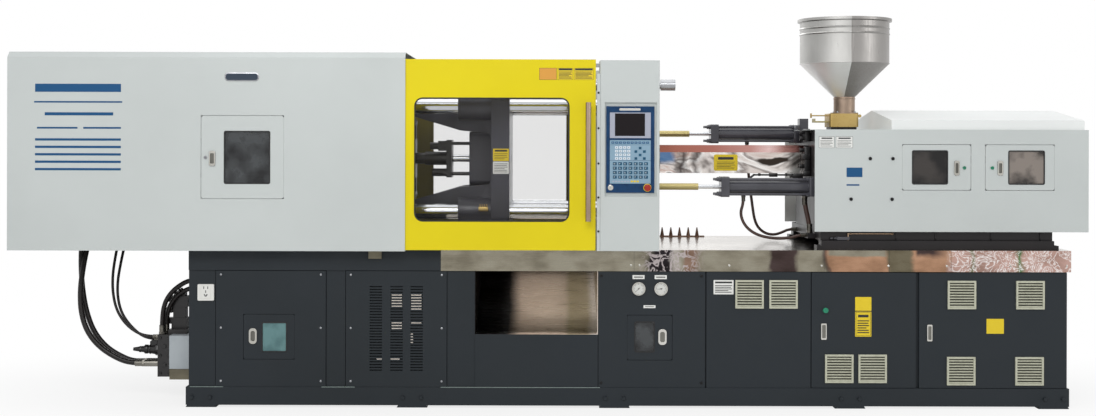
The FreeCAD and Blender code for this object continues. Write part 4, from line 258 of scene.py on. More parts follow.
def apron_painted_reflections(tree, _):
    """The apron's fields of painted reflection along X, worn unevenly, with painted white curls in its
    crumpled right end.
    """
    fields = ramp_of(tree, along(tree, "X", *APRON_X, 30.0, 60.0), spread(APRON_REFLECTION_FIELDS, *APRON_X))
    brow = times(tree, window_of(tree, "X", (1.430, 1.450, 1.735, 1.755)),
                 window_of(tree, "Z", (0.796, 0.806, 0.850, 0.851), 8.0, 90.0))
    colour = blend(tree, brow, fields.outputs["Color"], linear(SHEET_GREY))
    corner = times(tree, window_of(tree, "X", (1.895, 1.910, 1.990, 2.085)),
                   window_of(tree, "Z", (0.785, 0.812, 0.850, 0.851), 14.0, 60.0))
    colour = blend(tree, corner, colour, linear(SLANT_BROWN))
    worn = noise_of(tree, 34.0, 5.0, (2.0, 1.0, 1.0))
    shade = ramp_of(tree, worn.outputs["Fac"], [(0.32, "#CFCCC8"), (0.50, "#F0EEEC"), (0.62, "#FFFFFF")])
    colour = blend(tree, 1.0, colour, shade.outputs["Color"], "MULTIPLY")
    curls = noise_of(tree, 75.0, 3.0)
    curls.inputs["Distortion"].default_value = 5.0
    thin = ramp_of(tree, curls.outputs["Fac"],
                   [(0.40, 0.0), (0.44, 0.9), (0.48, 0.0), (0.53, 0.0), (0.57, 0.9), (0.60, 0.0)])
    white = times(tree, thin.outputs["Color"], window_of(tree, "X", (2.060, 2.110, 2.800, 2.801), 12.0))
    colour = blend(tree, white, colour, linear("#F1ECEA"))
    lobes = noise_of(tree, 46.0, 3.0)
    lobes.inputs["Distortion"].default_value = 3.0
    marks = ramp_of(tree, lobes.outputs["Fac"], [(0.47, 0.0), (0.50, 0.85), (0.56, 0.85), (0.59, 0.0)])
    swirl = times(tree, marks.outputs["Color"], window_of(tree, "X", (0.450, 0.520, 0.700, 0.800), 10.0))
    return blend(tree, swirl, colour, linear("#B9AFAF"))


# Bright apron sheet whose colour fields are painted reflections.
APRON_STAINLESS = metal("worn_apron_sheet_painted_reflections", None, None, 0.26, 2.6, (26.0, 1.0, 1.0), 0.02,
                        110.0, 1.0, tone_of=apron_painted_reflections)


def chute_painted_shade(tree, base):
    """Painted shade: the lining falls into the dark towards its left end."""
    stops = [(-0.430, "#15110F"), (-0.240, "#1D1815"), (-0.180, "#EADCCF"), (0.060, "#F4E8DB"),
             (0.090, "#CFC7AC"), (0.185, "#DAD1B9"), (0.215, "#FFFFFF")]
    depth = ramp_of(tree, along(tree, "X", -0.430, 0.230, 12.0, 200.0), spread(stops, -0.430, 0.230))
    return blend(tree, 1.0, base, depth.outputs["Color"], "MULTIPLY")


# Brushed lining, painted near black towards its shaded left end.
CHUTE_STAINLESS = metal("brushed_stainless_lining", "#E2D7CC", "#C2B6AA", 0.30, 2.4, (30.0, 1.0, 1.0), 0.04,
                        300.0, 1.0, tone_of=chute_painted_shade)


def hopper_painted_halves(left, seam, right):
    """Painted shade: sheet darker to the right of its front seam, with a dark line along the seam."""
    def tone(tree, base):
        """Multiplies the sheet's own colour by the painted shade of its half."""
        side = along(tree, "X", 1.560, 1.700, 2.0, 90.0)
        halves = ramp_of(tree, side, [(0.0, left), (0.47, left), (0.49, seam), (0.51, right)])
        return blend(tree, 1.0, base, halves.outputs["Color"], "MULTIPLY")
    return tone


# Spun and rolled hopper sheet: brushed upright, with reflections broken by dents, and painted shade right of
# its front seam.
HOPPER_STAINLESS = metal("brushed_stainless_hopper", "#E6E6E6", "#CFCFCF", 0.36, 3.0, (1.0, 1.0, 22.0), 0.03,
                         60.0, 0.9, tone_of=hopper_painted_halves("#D6D5D2", "#94908B", "#B2AFAC"))
CONE_STAINLESS = metal("brushed_stainless_cone", "#FFFFFF", "#E3E0DD", 0.50, 3.0, (1.0, 1.0, 14.0), 0.06,
                       45.0, 2.2, tone_of=hopper_painted_halves("#FFFFFF", "#8E8A86", "#A5A2A0"))
NECK_STAINLESS = metal("creased_stainless_neck", "#A39080", "#6F5F52", 0.40, 5.0, (1.0, 1.0, 3.0), 0.5,
                       12.0, 1.2)
CUP_STEEL = metal("pressed_steel_cup", "#7C7B75", "#5E5D58", 0.45, 4.0, (1.0, 1.0, 4.0), 0.04)
# Hard-chromed ground bars.
CHROMED_BAR = metal("hard_chromed_steel", "#CFD1D4", "#C2C4C7", 0.10, 2.0, (30.0, 1.0, 1.0), 0.004)
SATIN_STEEL = metal("machined_steel", "#A9AAAD", "#8D8F93", 0.30, 3.0, (8.0, 1.0, 1.0), 0.03)
# Yellow-passivated zinc on steel and cast brass-coloured blocks.
YELLOW_ZINC = metal("yellow_passivated_zinc", "#B9AC7C", "#968A5C", 0.36, 5.0, (3.0, 1.0, 1.0), 0.05)
SEAT_BRASS = metal("gilt_cast_alloy", "#C6AC72", "#A0854A", 0.34, 6.0, (1.0, 1.0, 1.0), 0.14)
COPPER_TUBE = metal("drawn_copper", "#CBB096", "#9E8168", 0.26, 4.0, (10.0, 1.0, 1.0), 0.02)
PULL_CHROME = metal("plated_zinc_pull", "#D5D3CE", "#A9A79F", 0.18, 2.0, (1.0, 1.0, 6.0), 0.02)
GRIP_STEEL = metal("brushed_steel_grip", "#B8A390", "#857262", 0.27, 2.0, (1.0, 1.0, 30.0), 0.02)

VENT_CREAM = plastic("primer_cream", "#E2D8CC", 0.5)
# Painted highlight: a light line where an edge catches the light.
EDGE_PAINTED_HIGHLIGHT = plastic("coat_edge_painted_highlight", "#76837F", 0.3, depth=0.1)
# Painted shade: dark strips for the shade between grille slats.
SLAT_PAINTED_SHADE = plastic("painted_shade_between_slats", "#39392F", 0.9, depth=0.3)
BADGE_NAVY = plastic("cut_vinyl_navy", "#192C3E", 0.4, depth=0.0)
GRILLE_ABS = plastic("abs_cream_grille", "#C2C2AE", 0.5, darker="#B4B49F")
SOCKET_ABS = plastic("abs_white_socket", "#E4E3DE", 0.35)
CONSOLE_ABS = plastic("polyester_film_deep_blue", "#0D3A63", 0.36, darker="#0A3054", ior=1.32)
FRAME_FILM = plastic("polyester_film_lavender", "#A6A9B8", 0.38)
PAD_FILM = plastic("polyester_film_pale_blue", "#86A4B8", 0.38)
KEY_TEAL = plastic("membrane_key_teal", "#14526F", 0.34, darker="#104862", ior=1.36)
KEY_BLUE = plastic("membrane_key_blue", "#1C5C85", 0.34, ior=1.36)
KEY_WHITE = plastic("membrane_key_white", "#D9E2EA", 0.36)
SCREEN_GLASS = plastic("display_glass_black", "#150E12", 0.08, depth=0.0, ior=1.28)
STOP_ABS = plastic("abs_signal_red", "#A82A1C", 0.25, darker="#932417", ior=1.4)
BLACK_ABS = plastic("abs_black", "#0E0E10", 0.4, ior=1.34)
LAMP_GREEN = plastic("acrylic_lens_green", "#128A66", 0.15, depth=0.0, darker="#0E7455")
DIAL_WHITE = plastic("dial_enamel_white", "#D6D6D1", 0.35, depth=0.0)
INK_BLACK = plastic("printing_ink_black", "#1B1B1B", 0.5, depth=0.0)
VINYL_BLUE = plastic("cut_vinyl_blue", "#154F7D", 0.4, depth=0.0, ior=1.36)
LABEL_YELLOW = plastic("vinyl_label_yellow", "#E5C81E", 0.4, depth=0.0)
LABEL_ORANGE = plastic("vinyl_label_orange", "#D99A3B", 0.4, depth=0.0)
LABEL_WHITE = plastic("vinyl_label_white", "#E6E6E2", 0.4, depth=0.0)
GASKET = plastic("epdm_gasket", "#1A1A1B", 0.7)
# Braided hydraulic hose: black cover with an oily brown sheen.
HOSE_RUBBER = plastic("nitrile_hose_cover", "#1A1413", 0.40, fleck_mm=3.0, depth=0.25, darker="#120E0D",
                      ior=1.4)
HOSE_BROWN = plastic("nitrile_hose_brown", "#4A332C", 0.42, fleck_mm=3.0, depth=0.25, darker="#3A2823")


def pane(name, colour, rough, alpha, lighter):
    """Clear or tinted plastic pane, seen through, with patches it reflects and a faint scratched haze."""
    material, tree, shader = new_material(name, IOR=1.45, Alpha=alpha)
    feed(tree, shader, "Base Color", noise_of(tree, 75.0, 6.0), [(0.43, colour), (0.60, lighter)])
    feed(tree, shader, "Roughness", noise_of(tree, 60.0, 6.0), [(0.35, rough * 0.6), (0.75, rough * 1.6)])
    return material


CLEAR_PANE = pane("polycarbonate_clear", "#4A4744", 0.06, 0.07, "#5C5955")
SMOKED_PANE = pane("acrylic_smoked", "#1B1C1E", 0.06, 0.88, "#474A4C")
TEAL_PANE = pane("acrylic_blue_green", "#42676A", 0.10, 0.92, "#648B8C")
# Painted light: the shroud doors' panes are one smoked acrylic, darker in the left door and lighter in the
# right.
DARK_PANE = pane("acrylic_smoked_dark", "#0C0909", 0.06, 0.90, "#3D3835")
BRIGHT_PANE = pane("acrylic_smoked_bright", "#37322F", 0.06, 0.90, "#8F857D")


def cover_tone(tree, _):
    """Warped reflections of the barrel cover: white, pink and black flows, a blue patch and a dark stroke."""
    flow = noise_of(tree, 145.0, 4.0, (2.4, 1.0, 1.0))
    flow.inputs["Distortion"].default_value = 2.4
    flows = ramp_of(tree, flow.outputs["Fac"],
                    [(0.30, "#2C2725"), (0.36, "#77706C"), (0.41, "#D8D0CB"), (0.45, "#F0EDEA"),
                     (0.485, "#8F8682"), (0.52, "#D9D1CC"), (0.57, "#BFA79E"), (0.62, "#F1EBE7"),
                     (0.67, "#5A5250"), (0.72, "#EFEAE7")])
    patch = ramp_of(tree, along(tree, "X", 0.600, 0.740, 30.0, 60.0), [(0.30, 0.9), (0.55, 0.0)])
    upper = window_of(tree, "Z", (1.262, 1.290, 1.400, 1.401), 10.0, 60.0)
    blue = times(tree, patch.outputs["Color"], upper)
    colour = blend(tree, blue, flows.outputs["Color"], linear("#3E6C99"))
    left = ramp_of(tree, along(tree, "X", 0.640, 0.900, 40.0, 50.0),
                   [(0.10, 0.0), (0.25, 0.9), (0.42, 0.0), (0.60, 0.75), (0.75, 0.0)])
    colour = blend(tree, left.outputs["Color"], colour, linear("#37302E"))
    place = add_node(tree, "ShaderNodeTexCoord")
    wobble = noise_of(tree, 60.0, 4.0, (2.0, 1.0, 1.0))
    offset = vector_math(tree, "MULTIPLY", wobble.outputs["Color"], (0.16, 0.0, 0.09))
    moved = vector_math(tree, "ADD", place.outputs["Object"], offset.outputs[0])
    centred = vector_math(tree, "SUBTRACT", moved.outputs[0], (1.290, 0.0, 1.332))
    squashed = vector_math(tree, "MULTIPLY", centred.outputs[0], (1.0, 0.0, 4.2))
    away = vector_math(tree, "LENGTH", squashed.outputs[0])
    stroke = ramp_of(tree, away.outputs["Value"], [(0.072, 1.0), (0.100, 0.0)])
    return blend(tree, stroke.outputs["Color"], colour, linear("#37302B"))


def fold_painted_reflection(tree, _):
    """Painted reflection: red on the cover's upper fold, deeper towards the machine's middle."""
    ramp = ramp_of(tree, along(tree, "X", 0.595, 1.420, 20.0, 120.0),
                   [(0.0, "#6D4236"), (0.35, "#774B43"), (0.62, "#83605B"), (0.75, "#A08886"),
                    (0.86, "#8A6560"), (1.0, "#6C4440")])
    return ramp.outputs["Color"]


# The barrel cover's polished sheet: painted warped reflections, and a red painted reflection along its upper
# folds.
BARREL_STAINLESS = metal("polished_stainless_cover", None, None, 0.16, 4.0, (14.0, 1.0, 1.0), 0.01,
                         120.0, 1.6, tone_of=cover_tone)
BARREL_WARM = metal("polished_stainless_red_reflection_fold", None, None, 0.24, 4.0, (14.0, 1.0, 1.0), 0.01,
                    160.0, 0.6, tone_of=fold_painted_reflection)
NIPPLE_BRONZE = metal("tarnished_bronze_nipples", "#8C6E5E", "#5D4538", 0.42, 4.0, (1.0, 1.0, 1.0), 0.05,
                      30.0, 0.1)
CRIMP_STEEL = metal("zinc_plated_crimp_steel", "#85827B", "#57544E", 0.34, 3.0, (1.0, 1.0, 1.0), 0.03,
                    30.0, 0.1)


# ---- dressing of the CAD nodes -----------------------------------------------------------------
def dress(name, material, *regions):
    """Gives a node its finish; a region is another finish for the faces inside a box."""
    mesh = nodes[name].data
    mesh.materials.clear()
    mesh.materials.append(material)
    for finish, _, _ in regions:
        mesh.materials.append(finish)
    for face in mesh.polygons:
        face.material_index = 0
        for index, (_, low, high) in enumerate(regions):
            if all(a <= c <= b for a, c, b in zip(low, face.center, high)):
                face.material_index = index + 1


def proud(x, z, face_y, finish):
    """Region of what stands out in front of a face towards the operator."""
    return (finish, (x[0], -2.0, z[0]), (x[1], face_y - SKIN, z[1]))


def behind(x, z, face_y, finish, skin=0.003):
    """Region of a pane that lies behind a door's sheet."""
    margin = 0.0105
    return (finish, (x[0] - margin, face_y + skin - SKIN, z[0] - margin),
            (x[1] + margin, face_y + skin + 0.0045, z[1] + margin))


def cupped(x, z, face_y):
    """Regions of a plated pull and of the floor of its cup."""
    floor = (CUP_STEEL, (x[0], face_y - 0.0035, z[0]), (x[1], face_y - 0.0015, z[1]))
    return proud(x, z, face_y, PULL_CHROME), floor


dress("base_frame", BASE_COAT)
dress("base_panels", BASE_COAT, proud((-1.870, -1.775), (0.55, 0.65), -0.5525, SOCKET_ABS),
      proud((0.95, 1.29), (0.52, 0.68), PANEL_FACE_Y, GRILLE_ABS))
dress("vent_panel", BASE_COAT)
dress("parts_chute", CHUTE_STAINLESS)
dress("deck", DECK_STAINLESS, (APRON_STAINLESS, (-0.6, -0.5605, 0.70), (2.8, -0.5595, 0.8335)))
dress("pressure_gauges", PULL_CHROME, (BLACK_ABS, (0.40, -0.5645, 0.58), (0.62, -0.5635, 0.67)))
dress("switchgear", BLACK_ABS, (YELLOW_ZINC, (0.0, -0.2465, 0.0), (3.0, -0.2395, 1.0)))
dress("clamp_cover", COVER_COAT, (SUMP_ALUMINIUM, (-0.969, -0.60, 0.70), (-0.899, -0.558, 0.8245)))
dress("clamp_hatch", COVER_COAT, behind(*CLAMP_WINDOW, COVER_FACE_Y, SMOKED_PANE),
      *cupped((-1.79, -1.75), (1.26, 1.35), COVER_FACE_Y),
      proud((-1.82, -1.79), (1.29, 1.33), COVER_FACE_Y, SATIN_STEEL))
dress("guard_rails", SATIN_STEEL)
dress("front_guard", GUARD_ENAMEL)
dress("front_window", CLEAR_PANE)
dress("front_grip", GRIP_STEEL)
# Rear guard: painted shade on its inner faces, and its grip.
dress("rear_guard", GUARD_ENAMEL, (GUARD_PAINTED_SHADE, (-0.829, 0.5, 0.833), (0.216, 0.6285, 1.821)),
      (GRIP_STEEL, (0.15, 0.6325, 0.9), (0.20, 0.80, 1.7)))
dress("rear_window", CLEAR_PANE)
dress("control_columns", COVER_COAT)
dress("console", CONSOLE_ABS, proud((0.29, 0.504), (1.41, 1.55), -0.634, FRAME_FILM),
      proud((0.29, 0.504), (1.17, 1.406), -0.634, PAD_FILM))
dress("console_keys", KEY_TEAL, (SCREEN_GLASS, (0.31, -1.0, 1.42), (0.48, 1.0, 1.55)),
      (KEY_BLUE, (0.29, -1.0, 1.384), (0.51, 1.0, 1.40)),
      (KEY_WHITE, (0.31, -1.0, 1.30), (0.402, 1.0, 1.378)))
dress("stop_button", STOP_ABS)
dress("key_switch", PULL_CHROME)

dress("fixed_platen", CASTING_ENAMEL, (SATIN_STEEL, (0.2895, -1.0, 0.5), (0.2905, 1.0, 2.0)))
dress("rear_platen", CASTING_ENAMEL)
dress("moving_platen", CASTING_ENAMEL, (SATIN_STEEL, (-0.2375, -1.0, 0.5), (-0.2365, 1.0, 2.0)))
dress("safety_bar", SATIN_STEEL)
dress("tie_bars", CHROMED_BAR, (SATIN_STEEL, (-2.0, -1.0, 0.5), (-1.60, 1.0, 2.0)),
      (SATIN_STEEL, (0.4905, -1.0, 0.5), (0.70, 1.0, 2.0)))
dress("clamp_cylinder", CYLINDER_ENAMEL)
dress("crosshead", CASTING_ENAMEL, (VALVE_BLACK, (-2.5, -0.06, 1.2), (-0.836, 0.06, 1.4)))
for level in ("upper", "lower"):
    for link in ("rear_link", "front_link", "short_link"):
        dress(level + "_" + link, CASTING_ENAMEL)
dress("ejector_unit", VALVE_BLACK)
dress("ejector_rod", CHROMED_BAR)

dress("carriage_rails", CARRIAGE_PAINT)
dress("carriage_bed", CARRIAGE_PAINT)
# Shroud: near-white top, and painted light on the far wall's inner face, given the near-white coat to lighten
# its shade.
dress("injection_shroud", COVER_COAT, (HOOD_COAT, (-3.0, -1.0, 1.4645), (3.0, 1.0, 1.7)),
      (HOOD_COAT, (1.30, 0.470, 0.90), (2.90, 0.4795, 1.47)))
for name, window, tint, pull, lock in (
        ("shroud_door_left", SHROUD_WINDOWS_X[0], DARK_PANE, (2.12, 2.15), (2.166, 2.187)),
        ("shroud_door_right", SHROUD_WINDOWS_X[1], BRIGHT_PANE, (2.35, 2.382), (2.313, 2.335))):
    dress(name, COVER_COAT, behind(window, SHROUD_WINDOW_Z, SHROUD_FACE_Y, tint),
          *cupped(pull, (1.21, 1.31), SHROUD_FACE_Y), proud(lock, (1.25, 1.275), SHROUD_FACE_Y, LAMP_GREEN))
dress("barrel", SATIN_STEEL)
dress("barrel_cover", BARREL_STAINLESS, (BARREL_WARM, (0.0, -0.20, 1.3385), (2.0, 0.20, 1.50)))
dress("traverse_cylinders", CYLINDER_ENAMEL)
dress("traverse_rods", CHROMED_BAR, (YELLOW_ZINC, (0.0, -1.0, 1.0), (0.7905, 1.0, 1.6)))
dress("hopper", HOPPER_STAINLESS, (CONE_STAINLESS, (1.0, -1.0, 1.651), (3.0, 1.0, 1.8345)),
      (NECK_STAINLESS, (1.0, -1.0, 1.50), (3.0, 1.0, 1.6505)))
dress("hopper_lid", HOPPER_STAINLESS)
dress("hopper_seat", SEAT_BRASS)
dress("hopper_gate", YELLOW_ZINC)
dress("injection_drive", CYLINDER_ENAMEL)
dress("screw", SATIN_STEEL)

for name, window, tint, pull in (("hatch_left", HATCH_WINDOWS_X[0], TEAL_PANE, (-1.596, -1.553)),
                                 ("hatch_right", HATCH_WINDOWS_X[1], SMOKED_PANE, (0.550, 0.595))):
    dress(name, BASE_COAT, behind(window, (0.289, 0.454), PANEL_FACE_Y, tint),
          *cupped(pull, (0.33, 0.416), PANEL_FACE_Y))
dress("cabinet_door_b", BASE_COAT, proud((1.40, 1.76), (0.13, 0.29), PANEL_FACE_Y, GRILLE_ABS),
      *cupped((1.40, 1.436), (0.36, 0.448), PANEL_FACE_Y),
      proud((1.41, 1.445), (0.50, 0.53), PANEL_FACE_Y, LAMP_GREEN))
dress("cabinet_door_c", BASE_COAT, *cupped((1.955, 1.99), (0.35, 0.445), PANEL_FACE_Y),
      proud((2.0, 2.60), (0.10, 0.70), PANEL_FACE_Y, GRILLE_ABS))
dress("valve_group", VALVE_BLACK, (CRIMP_STEEL, (-2.2145, -0.32, 0.165), (-2.1415, -0.22, 0.215)),
      (OIL_BOX_PAINT, (-2.0685, -0.3505, 0.1655), (-1.911, -0.1495, 0.3455)),
      (SUMP_ALUMINIUM, (-2.0685, -0.35, 0.10), (-1.911, -0.15, 0.1665)))
dress("water_manifold", NIPPLE_BRONZE)


# ---- modelling helpers ---------------------------------------------------------------------------
def active(piece):
    """Makes a piece the only selected one."""
    bpy.ops.object.select_all(action="DESELECT")
    bpy.context.view_layer.objects.active = piece
    piece.select_set(True)
    return piece


def primitive(add, scale=(1.0, 1.0, 1.0), **settings):
    """New piece from one of Blender's primitives, its place, turn and size put into its mesh."""
    bpy.ops.object.select_all(action="DESELECT")
    add(**settings)
    piece = bpy.context.object
    piece.scale = scale
    bpy.ops.object.transform_apply(location=True, rotation=True, scale=True)
    return piece


def block(x, y, z):
    """Box between two limits on each axis."""
    return primitive(bpy.ops.mesh.primitive_cube_add, [b - a for a, b in (x, y, z)], size=1.0,
                     location=[(a + b) / 2 for a, b in (x, y, z)])


def cylinder(length, centre, radius, vertices, rotation=(0.0, 0.0, 0.0)):
    """Round or many-sided bar, upright before its rotation in degrees."""
    return primitive(bpy.ops.mesh.primitive_cylinder_add, radius=radius, depth=length, vertices=vertices,
                     location=centre, rotation=[math.radians(angle) for angle in rotation])


def disc(x, y, z, radius, vertices):
    """Round disc or pin lying along Y between two limits."""
    return cylinder(y[1] - y[0], (x, (y[0] + y[1]) / 2, z), radius, vertices, (90, 0, 0))


def bar_along(x, y, z, radius, vertices):
    """Round or hexagonal bar lying along X between two limits."""
    return cylinder(x[1] - x[0], ((x[0] + x[1]) / 2, y, z), radius, vertices, (0, 90, 0))


def upright(x, y, z, radius, vertices):
    """Round or hexagonal bar that stands between two levels."""
    return cylinder(z[1] - z[0], (x, y, (z[0] + z[1]) / 2), radius, vertices)


def ball(x, y, z, radius):
    """Small ball, such as a pipe's elbow."""
    return primitive(bpy.ops.mesh.primitive_uv_sphere_add, radius=radius, segments=20, ring_count=12,
                     location=(x, y, z))


def wire_ring(z, around, thick, segments):
    """Level ring of round wire or weld about the hopper's axis."""
    return primitive(bpy.ops.mesh.primitive_torus_add, location=(HOPPER_X, 0.0, z), major_radius=around,
                     minor_radius=thick, major_segments=segments[0], minor_segments=segments[1])


def edit(piece, test):
    """Starts edit mode with the faces selected whose centre and normal pass the test."""
    active(piece)
    bpy.ops.object.mode_set(mode="EDIT")
    bpy.ops.mesh.select_mode(type="FACE")
    mesh = bmesh.from_edit_mesh(piece.data)
    for face in mesh.faces:
        face.select_set(test(face.calc_center_median(), face.normal))
    bmesh.update_edit_mesh(piece.data)


def done():
    """Leaves edit mode."""
    bpy.ops.object.mode_set(mode="OBJECT")


def to_operator(_, normal):
    """Picks the faces that look at the operator."""
    return normal.y < -FACING


def on_top(_, normal):
    """Picks the faces that look up."""
    return normal.z > FACING


def rounded(piece, width, segments=2, angle=40.0):
    """Rounds a piece's edges with an applied bevel."""
    active(piece)
    bevel = piece.modifiers.new("edges", "BEVEL")
    bevel.width = width
    bevel.segments = segments
    bevel.angle_limit = math.radians(angle)
    bpy.ops.object.modifier_apply(modifier=bevel.name)
    return piece


def rounded_plate(x, y, z, radius, segments=4):
    """Flat plate whose corners are rounded as seen by the operator."""
    piece = block(x, y, z)
    active(piece)
    bpy.ops.object.mode_set(mode="EDIT")
    bpy.ops.mesh.select_mode(type="EDGE")
    mesh = bmesh.from_edit_mesh(piece.data)
    for edge in mesh.edges:
        direction = (edge.verts[1].co - edge.verts[0].co).normalized()
        edge.select_set(abs(direction.y) > FACING)
    bmesh.update_edit_mesh(piece.data)
    bpy.ops.mesh.bevel(offset=radius, segments=segments)
    done()
    return piece


def turn(degrees, axis):
    """Turn about one of the axes through the origin."""
    return Matrix.Rotation(math.radians(degrees), 4, axis)


def turned(x, z, degrees):
    """Turn about an axis along Y, clockwise for the operator when positive."""
    return Matrix.Translation((x, 0, z)) @ turn(degrees, "Y") @ Matrix.Translation((-x, 0, -z))


def copies(piece, moves):
    """One copy of a modelled piece for each move, each with its own mesh; the model itself goes."""
    made = []
    for move in moves:
        twin = piece.copy()
        twin.data = piece.data.copy()
        bpy.context.scene.collection.objects.link(twin)
        twin.data.transform(move)
        made.append(twin)
    bpy.data.objects.remove(piece)
    return made


def steps(places):
    """Moves from the origin to each place."""
    return [Matrix.Translation(place) for place in places]


def join(pieces):
    """Joins pieces into the first one."""
    active(pieces[0])
    for piece in pieces:
        piece.select_set(True)
    bpy.ops.object.join()
    return pieces[0]


def finish(piece, name, body, slot, material, sharp=35.0):
    """Names a modelled piece and gives it its finish and its body."""
    piece.name = name
    piece.data.name = name
    active(piece)
    bpy.ops.object.shade_smooth_by_angle(angle=math.radians(sharp))
    piece.data.materials.clear()
    piece.data.materials.append(material)
    for face in piece.data.polygons:
        face.material_index = 0
    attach(piece, body)
    return piece


# ---- hoses ---------------------------------------------------------------------------------------
def stepped(profile, vertices=24):
    """Turned part along +X from the origin: a disc drawn out through (length, radius) steps."""
    piece = primitive(bpy.ops.mesh.primitive_circle_add, radius=profile[0][1], vertices=vertices,
                      fill_type="NGON", rotation=(0, math.radians(90), 0))
    active(piece)
    bpy.ops.object.mode_set(mode="EDIT")
    bpy.ops.mesh.select_all(action="SELECT")
    now = profile[0][1]
    for length, radius in profile[1:]:
        bpy.ops.mesh.extrude_region_move(TRANSFORM_OT_translate={"value": (length, 0.0, 0.0)})
        if radius != now:
            bpy.ops.transform.resize(value=(1.0, radius / now, radius / now))
            now = radius
    bpy.ops.mesh.select_all(action="SELECT")
    bpy.ops.mesh.normals_make_consistent(inside=False)
    done()
    return piece


def crimp_fitting(diameter):
    """Hose end along +X: swivel nut, collar and a crimped sleeve with its pressed rings."""
    r = diameter / 2
    nut = stepped([(0.0, r + 0.0035), (0.0012, r + 0.0050), (r * 0.9, r + 0.0050), (0.0012, r + 0.0035)], 6)
    profile = [(0.0, r + 0.0016), (r * 1.15, r + 0.0016), (0.0, r + 0.0030)]
    for _ in range(4):
        profile += [(r * 0.28, r + 0.0030), (r * 0.06, r + 0.0018),
                    (r * 0.16, r + 0.0018), (r * 0.06, r + 0.0030)]
    profile += [(r * 0.30, r + 0.0030), (0.0015, r + 0.0008)]
    return join([nut, stepped(profile)])


def hose(name, node, body, route, diameter, cover):
    """Free hose whose line is a smooth spline over its route, with a crimped fitting at each end."""
    for end, (place, following) in enumerate(((route[0], route[1]), (route[-1], route[-2]))):
        outward = (Vector(following) - Vector(place)).normalized()
        move = Matrix.Translation(place) @ outward.to_track_quat("X", "Z").to_matrix().to_4x4()
        fitting = copies(crimp_fitting(diameter), [move])[0]
        finish(fitting, "%s_fitting_%d" % (name, end + 1), body, "zinc_yellow", CRIMP_STEEL)
    curve = bpy.data.curves.new(name, "CURVE")
    curve.dimensions = "3D"
    curve.resolution_u = 8
    curve.bevel_depth = diameter / 2
    curve.bevel_resolution = 5
    curve.use_fill_caps = True
    spline = curve.splines.new("NURBS")
    spline.points.add(len(route) - 1)
    for point, place in zip(spline.points, route):
        point.co = (*place, 1.0)
    spline.order_u = 3
    spline.use_endpoint_u = True
    curve.materials.append(cover)
    piece = bpy.data.objects.new(name, curve)
    bpy.context.scene.collection.objects.link(piece)
    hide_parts(node)
    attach(piece, body)


hose("clamp_hose_a", "clamp_hoses", "machine", (
    (-2.226, -0.060, 1.330), (-2.330, -0.060, 1.330), (-2.430, -0.084, 1.280), (-2.505, -0.112, 1.200),
    (-2.552, -0.146, 1.095), (-2.577, -0.180, 0.975), (-2.588, -0.206, 0.845), (-2.586, -0.224, 0.712),
    (-2.574, -0.234, 0.580), (-2.550, -0.240, 0.458), (-2.508, -0.242, 0.348), (-2.436, -0.243, 0.262),
    (-2.340, -0.244, 0.208), (-2.280, -0.244, 0.190), (-2.214, -0.244, 0.190)), 0.029, HOSE_RUBBER)
hose("clamp_hose_b", "clamp_hoses", "machine", (
    (-2.226, 0.020, 1.270), (-2.330, 0.020, 1.270), (-2.412, -0.010, 1.232), (-2.474, -0.064, 1.156),
    (-2.514, -0.118, 1.055), (-2.538, -0.166, 0.938), (-2.558, -0.206, 0.812), (-2.572, -0.238, 0.690),
    (-2.578, -0.262, 0.570), (-2.566, -0.280, 0.455), (-2.528, -0.290, 0.352), (-2.456, -0.292, 0.268),
    (-2.356, -0.291, 0.208), (-2.284, -0.290, 0.188), (-2.214, -0.290, 0.188)), 0.029, HOSE_RUBBER)
hose("pilot_hose_a", "pilot_hoses", "machine", (
    (-2.200, -0.084, 1.215), (-2.262, -0.084, 1.215), (-2.316, -0.104, 1.184), (-2.345, -0.124, 1.122),
    (-2.362, -0.146, 1.044), (-2.374, -0.170, 0.950), (-2.388, -0.194, 0.850), (-2.402, -0.216, 0.750),
    (-2.410, -0.234, 0.655), (-2.404, -0.248, 0.560), (-2.380, -0.258, 0.470), (-2.330, -0.264, 0.396),
    (-2.264, -0.266, 0.347), (-2.204, -0.266, 0.330), (-2.150, -0.266, 0.330)), 0.015, HOSE_RUBBER)
hose("pilot_hose_b", "pilot_hoses", "machine", (
    (-2.200, -0.030, 1.206), (-2.262, -0.030, 1.206), (-2.312, -0.048, 1.176), (-2.340, -0.072, 1.108),
    (-2.350, -0.100, 1.008), (-2.358, -0.130, 0.912), (-2.368, -0.158, 0.812), (-2.382, -0.184, 0.712),
    (-2.392, -0.204, 0.618), (-2.386, -0.218, 0.530), (-2.362, -0.228, 0.452), (-2.318, -0.234, 0.390),
    (-2.258, -0.236, 0.334), (-2.200, -0.236, 0.312), (-2.150, -0.236, 0.312)), 0.015, HOSE_RUBBER)
hose("pump_hose_a", "pump_hoses", "machine", (
    (-1.912, -0.284, 0.640), (-1.972, -0.284, 0.640), (-2.030, -0.284, 0.610), (-2.080, -0.284, 0.566),
    (-2.113, -0.284, 0.508), (-2.124, -0.284, 0.430), (-2.124, -0.284, 0.345)), 0.026, HOSE_RUBBER)
hose("pump_hose_b", "pump_hoses", "machine", (
    (-1.912, -0.250, 0.596), (-1.966, -0.250, 0.596), (-2.016, -0.250, 0.576), (-2.062, -0.250, 0.542),
    (-2.094, -0.250, 0.492), (-2.108, -0.250, 0.438), (-2.109, -0.250, 0.390), (-2.109, -0.250, 0.345)),
    0.026, HOSE_RUBBER)
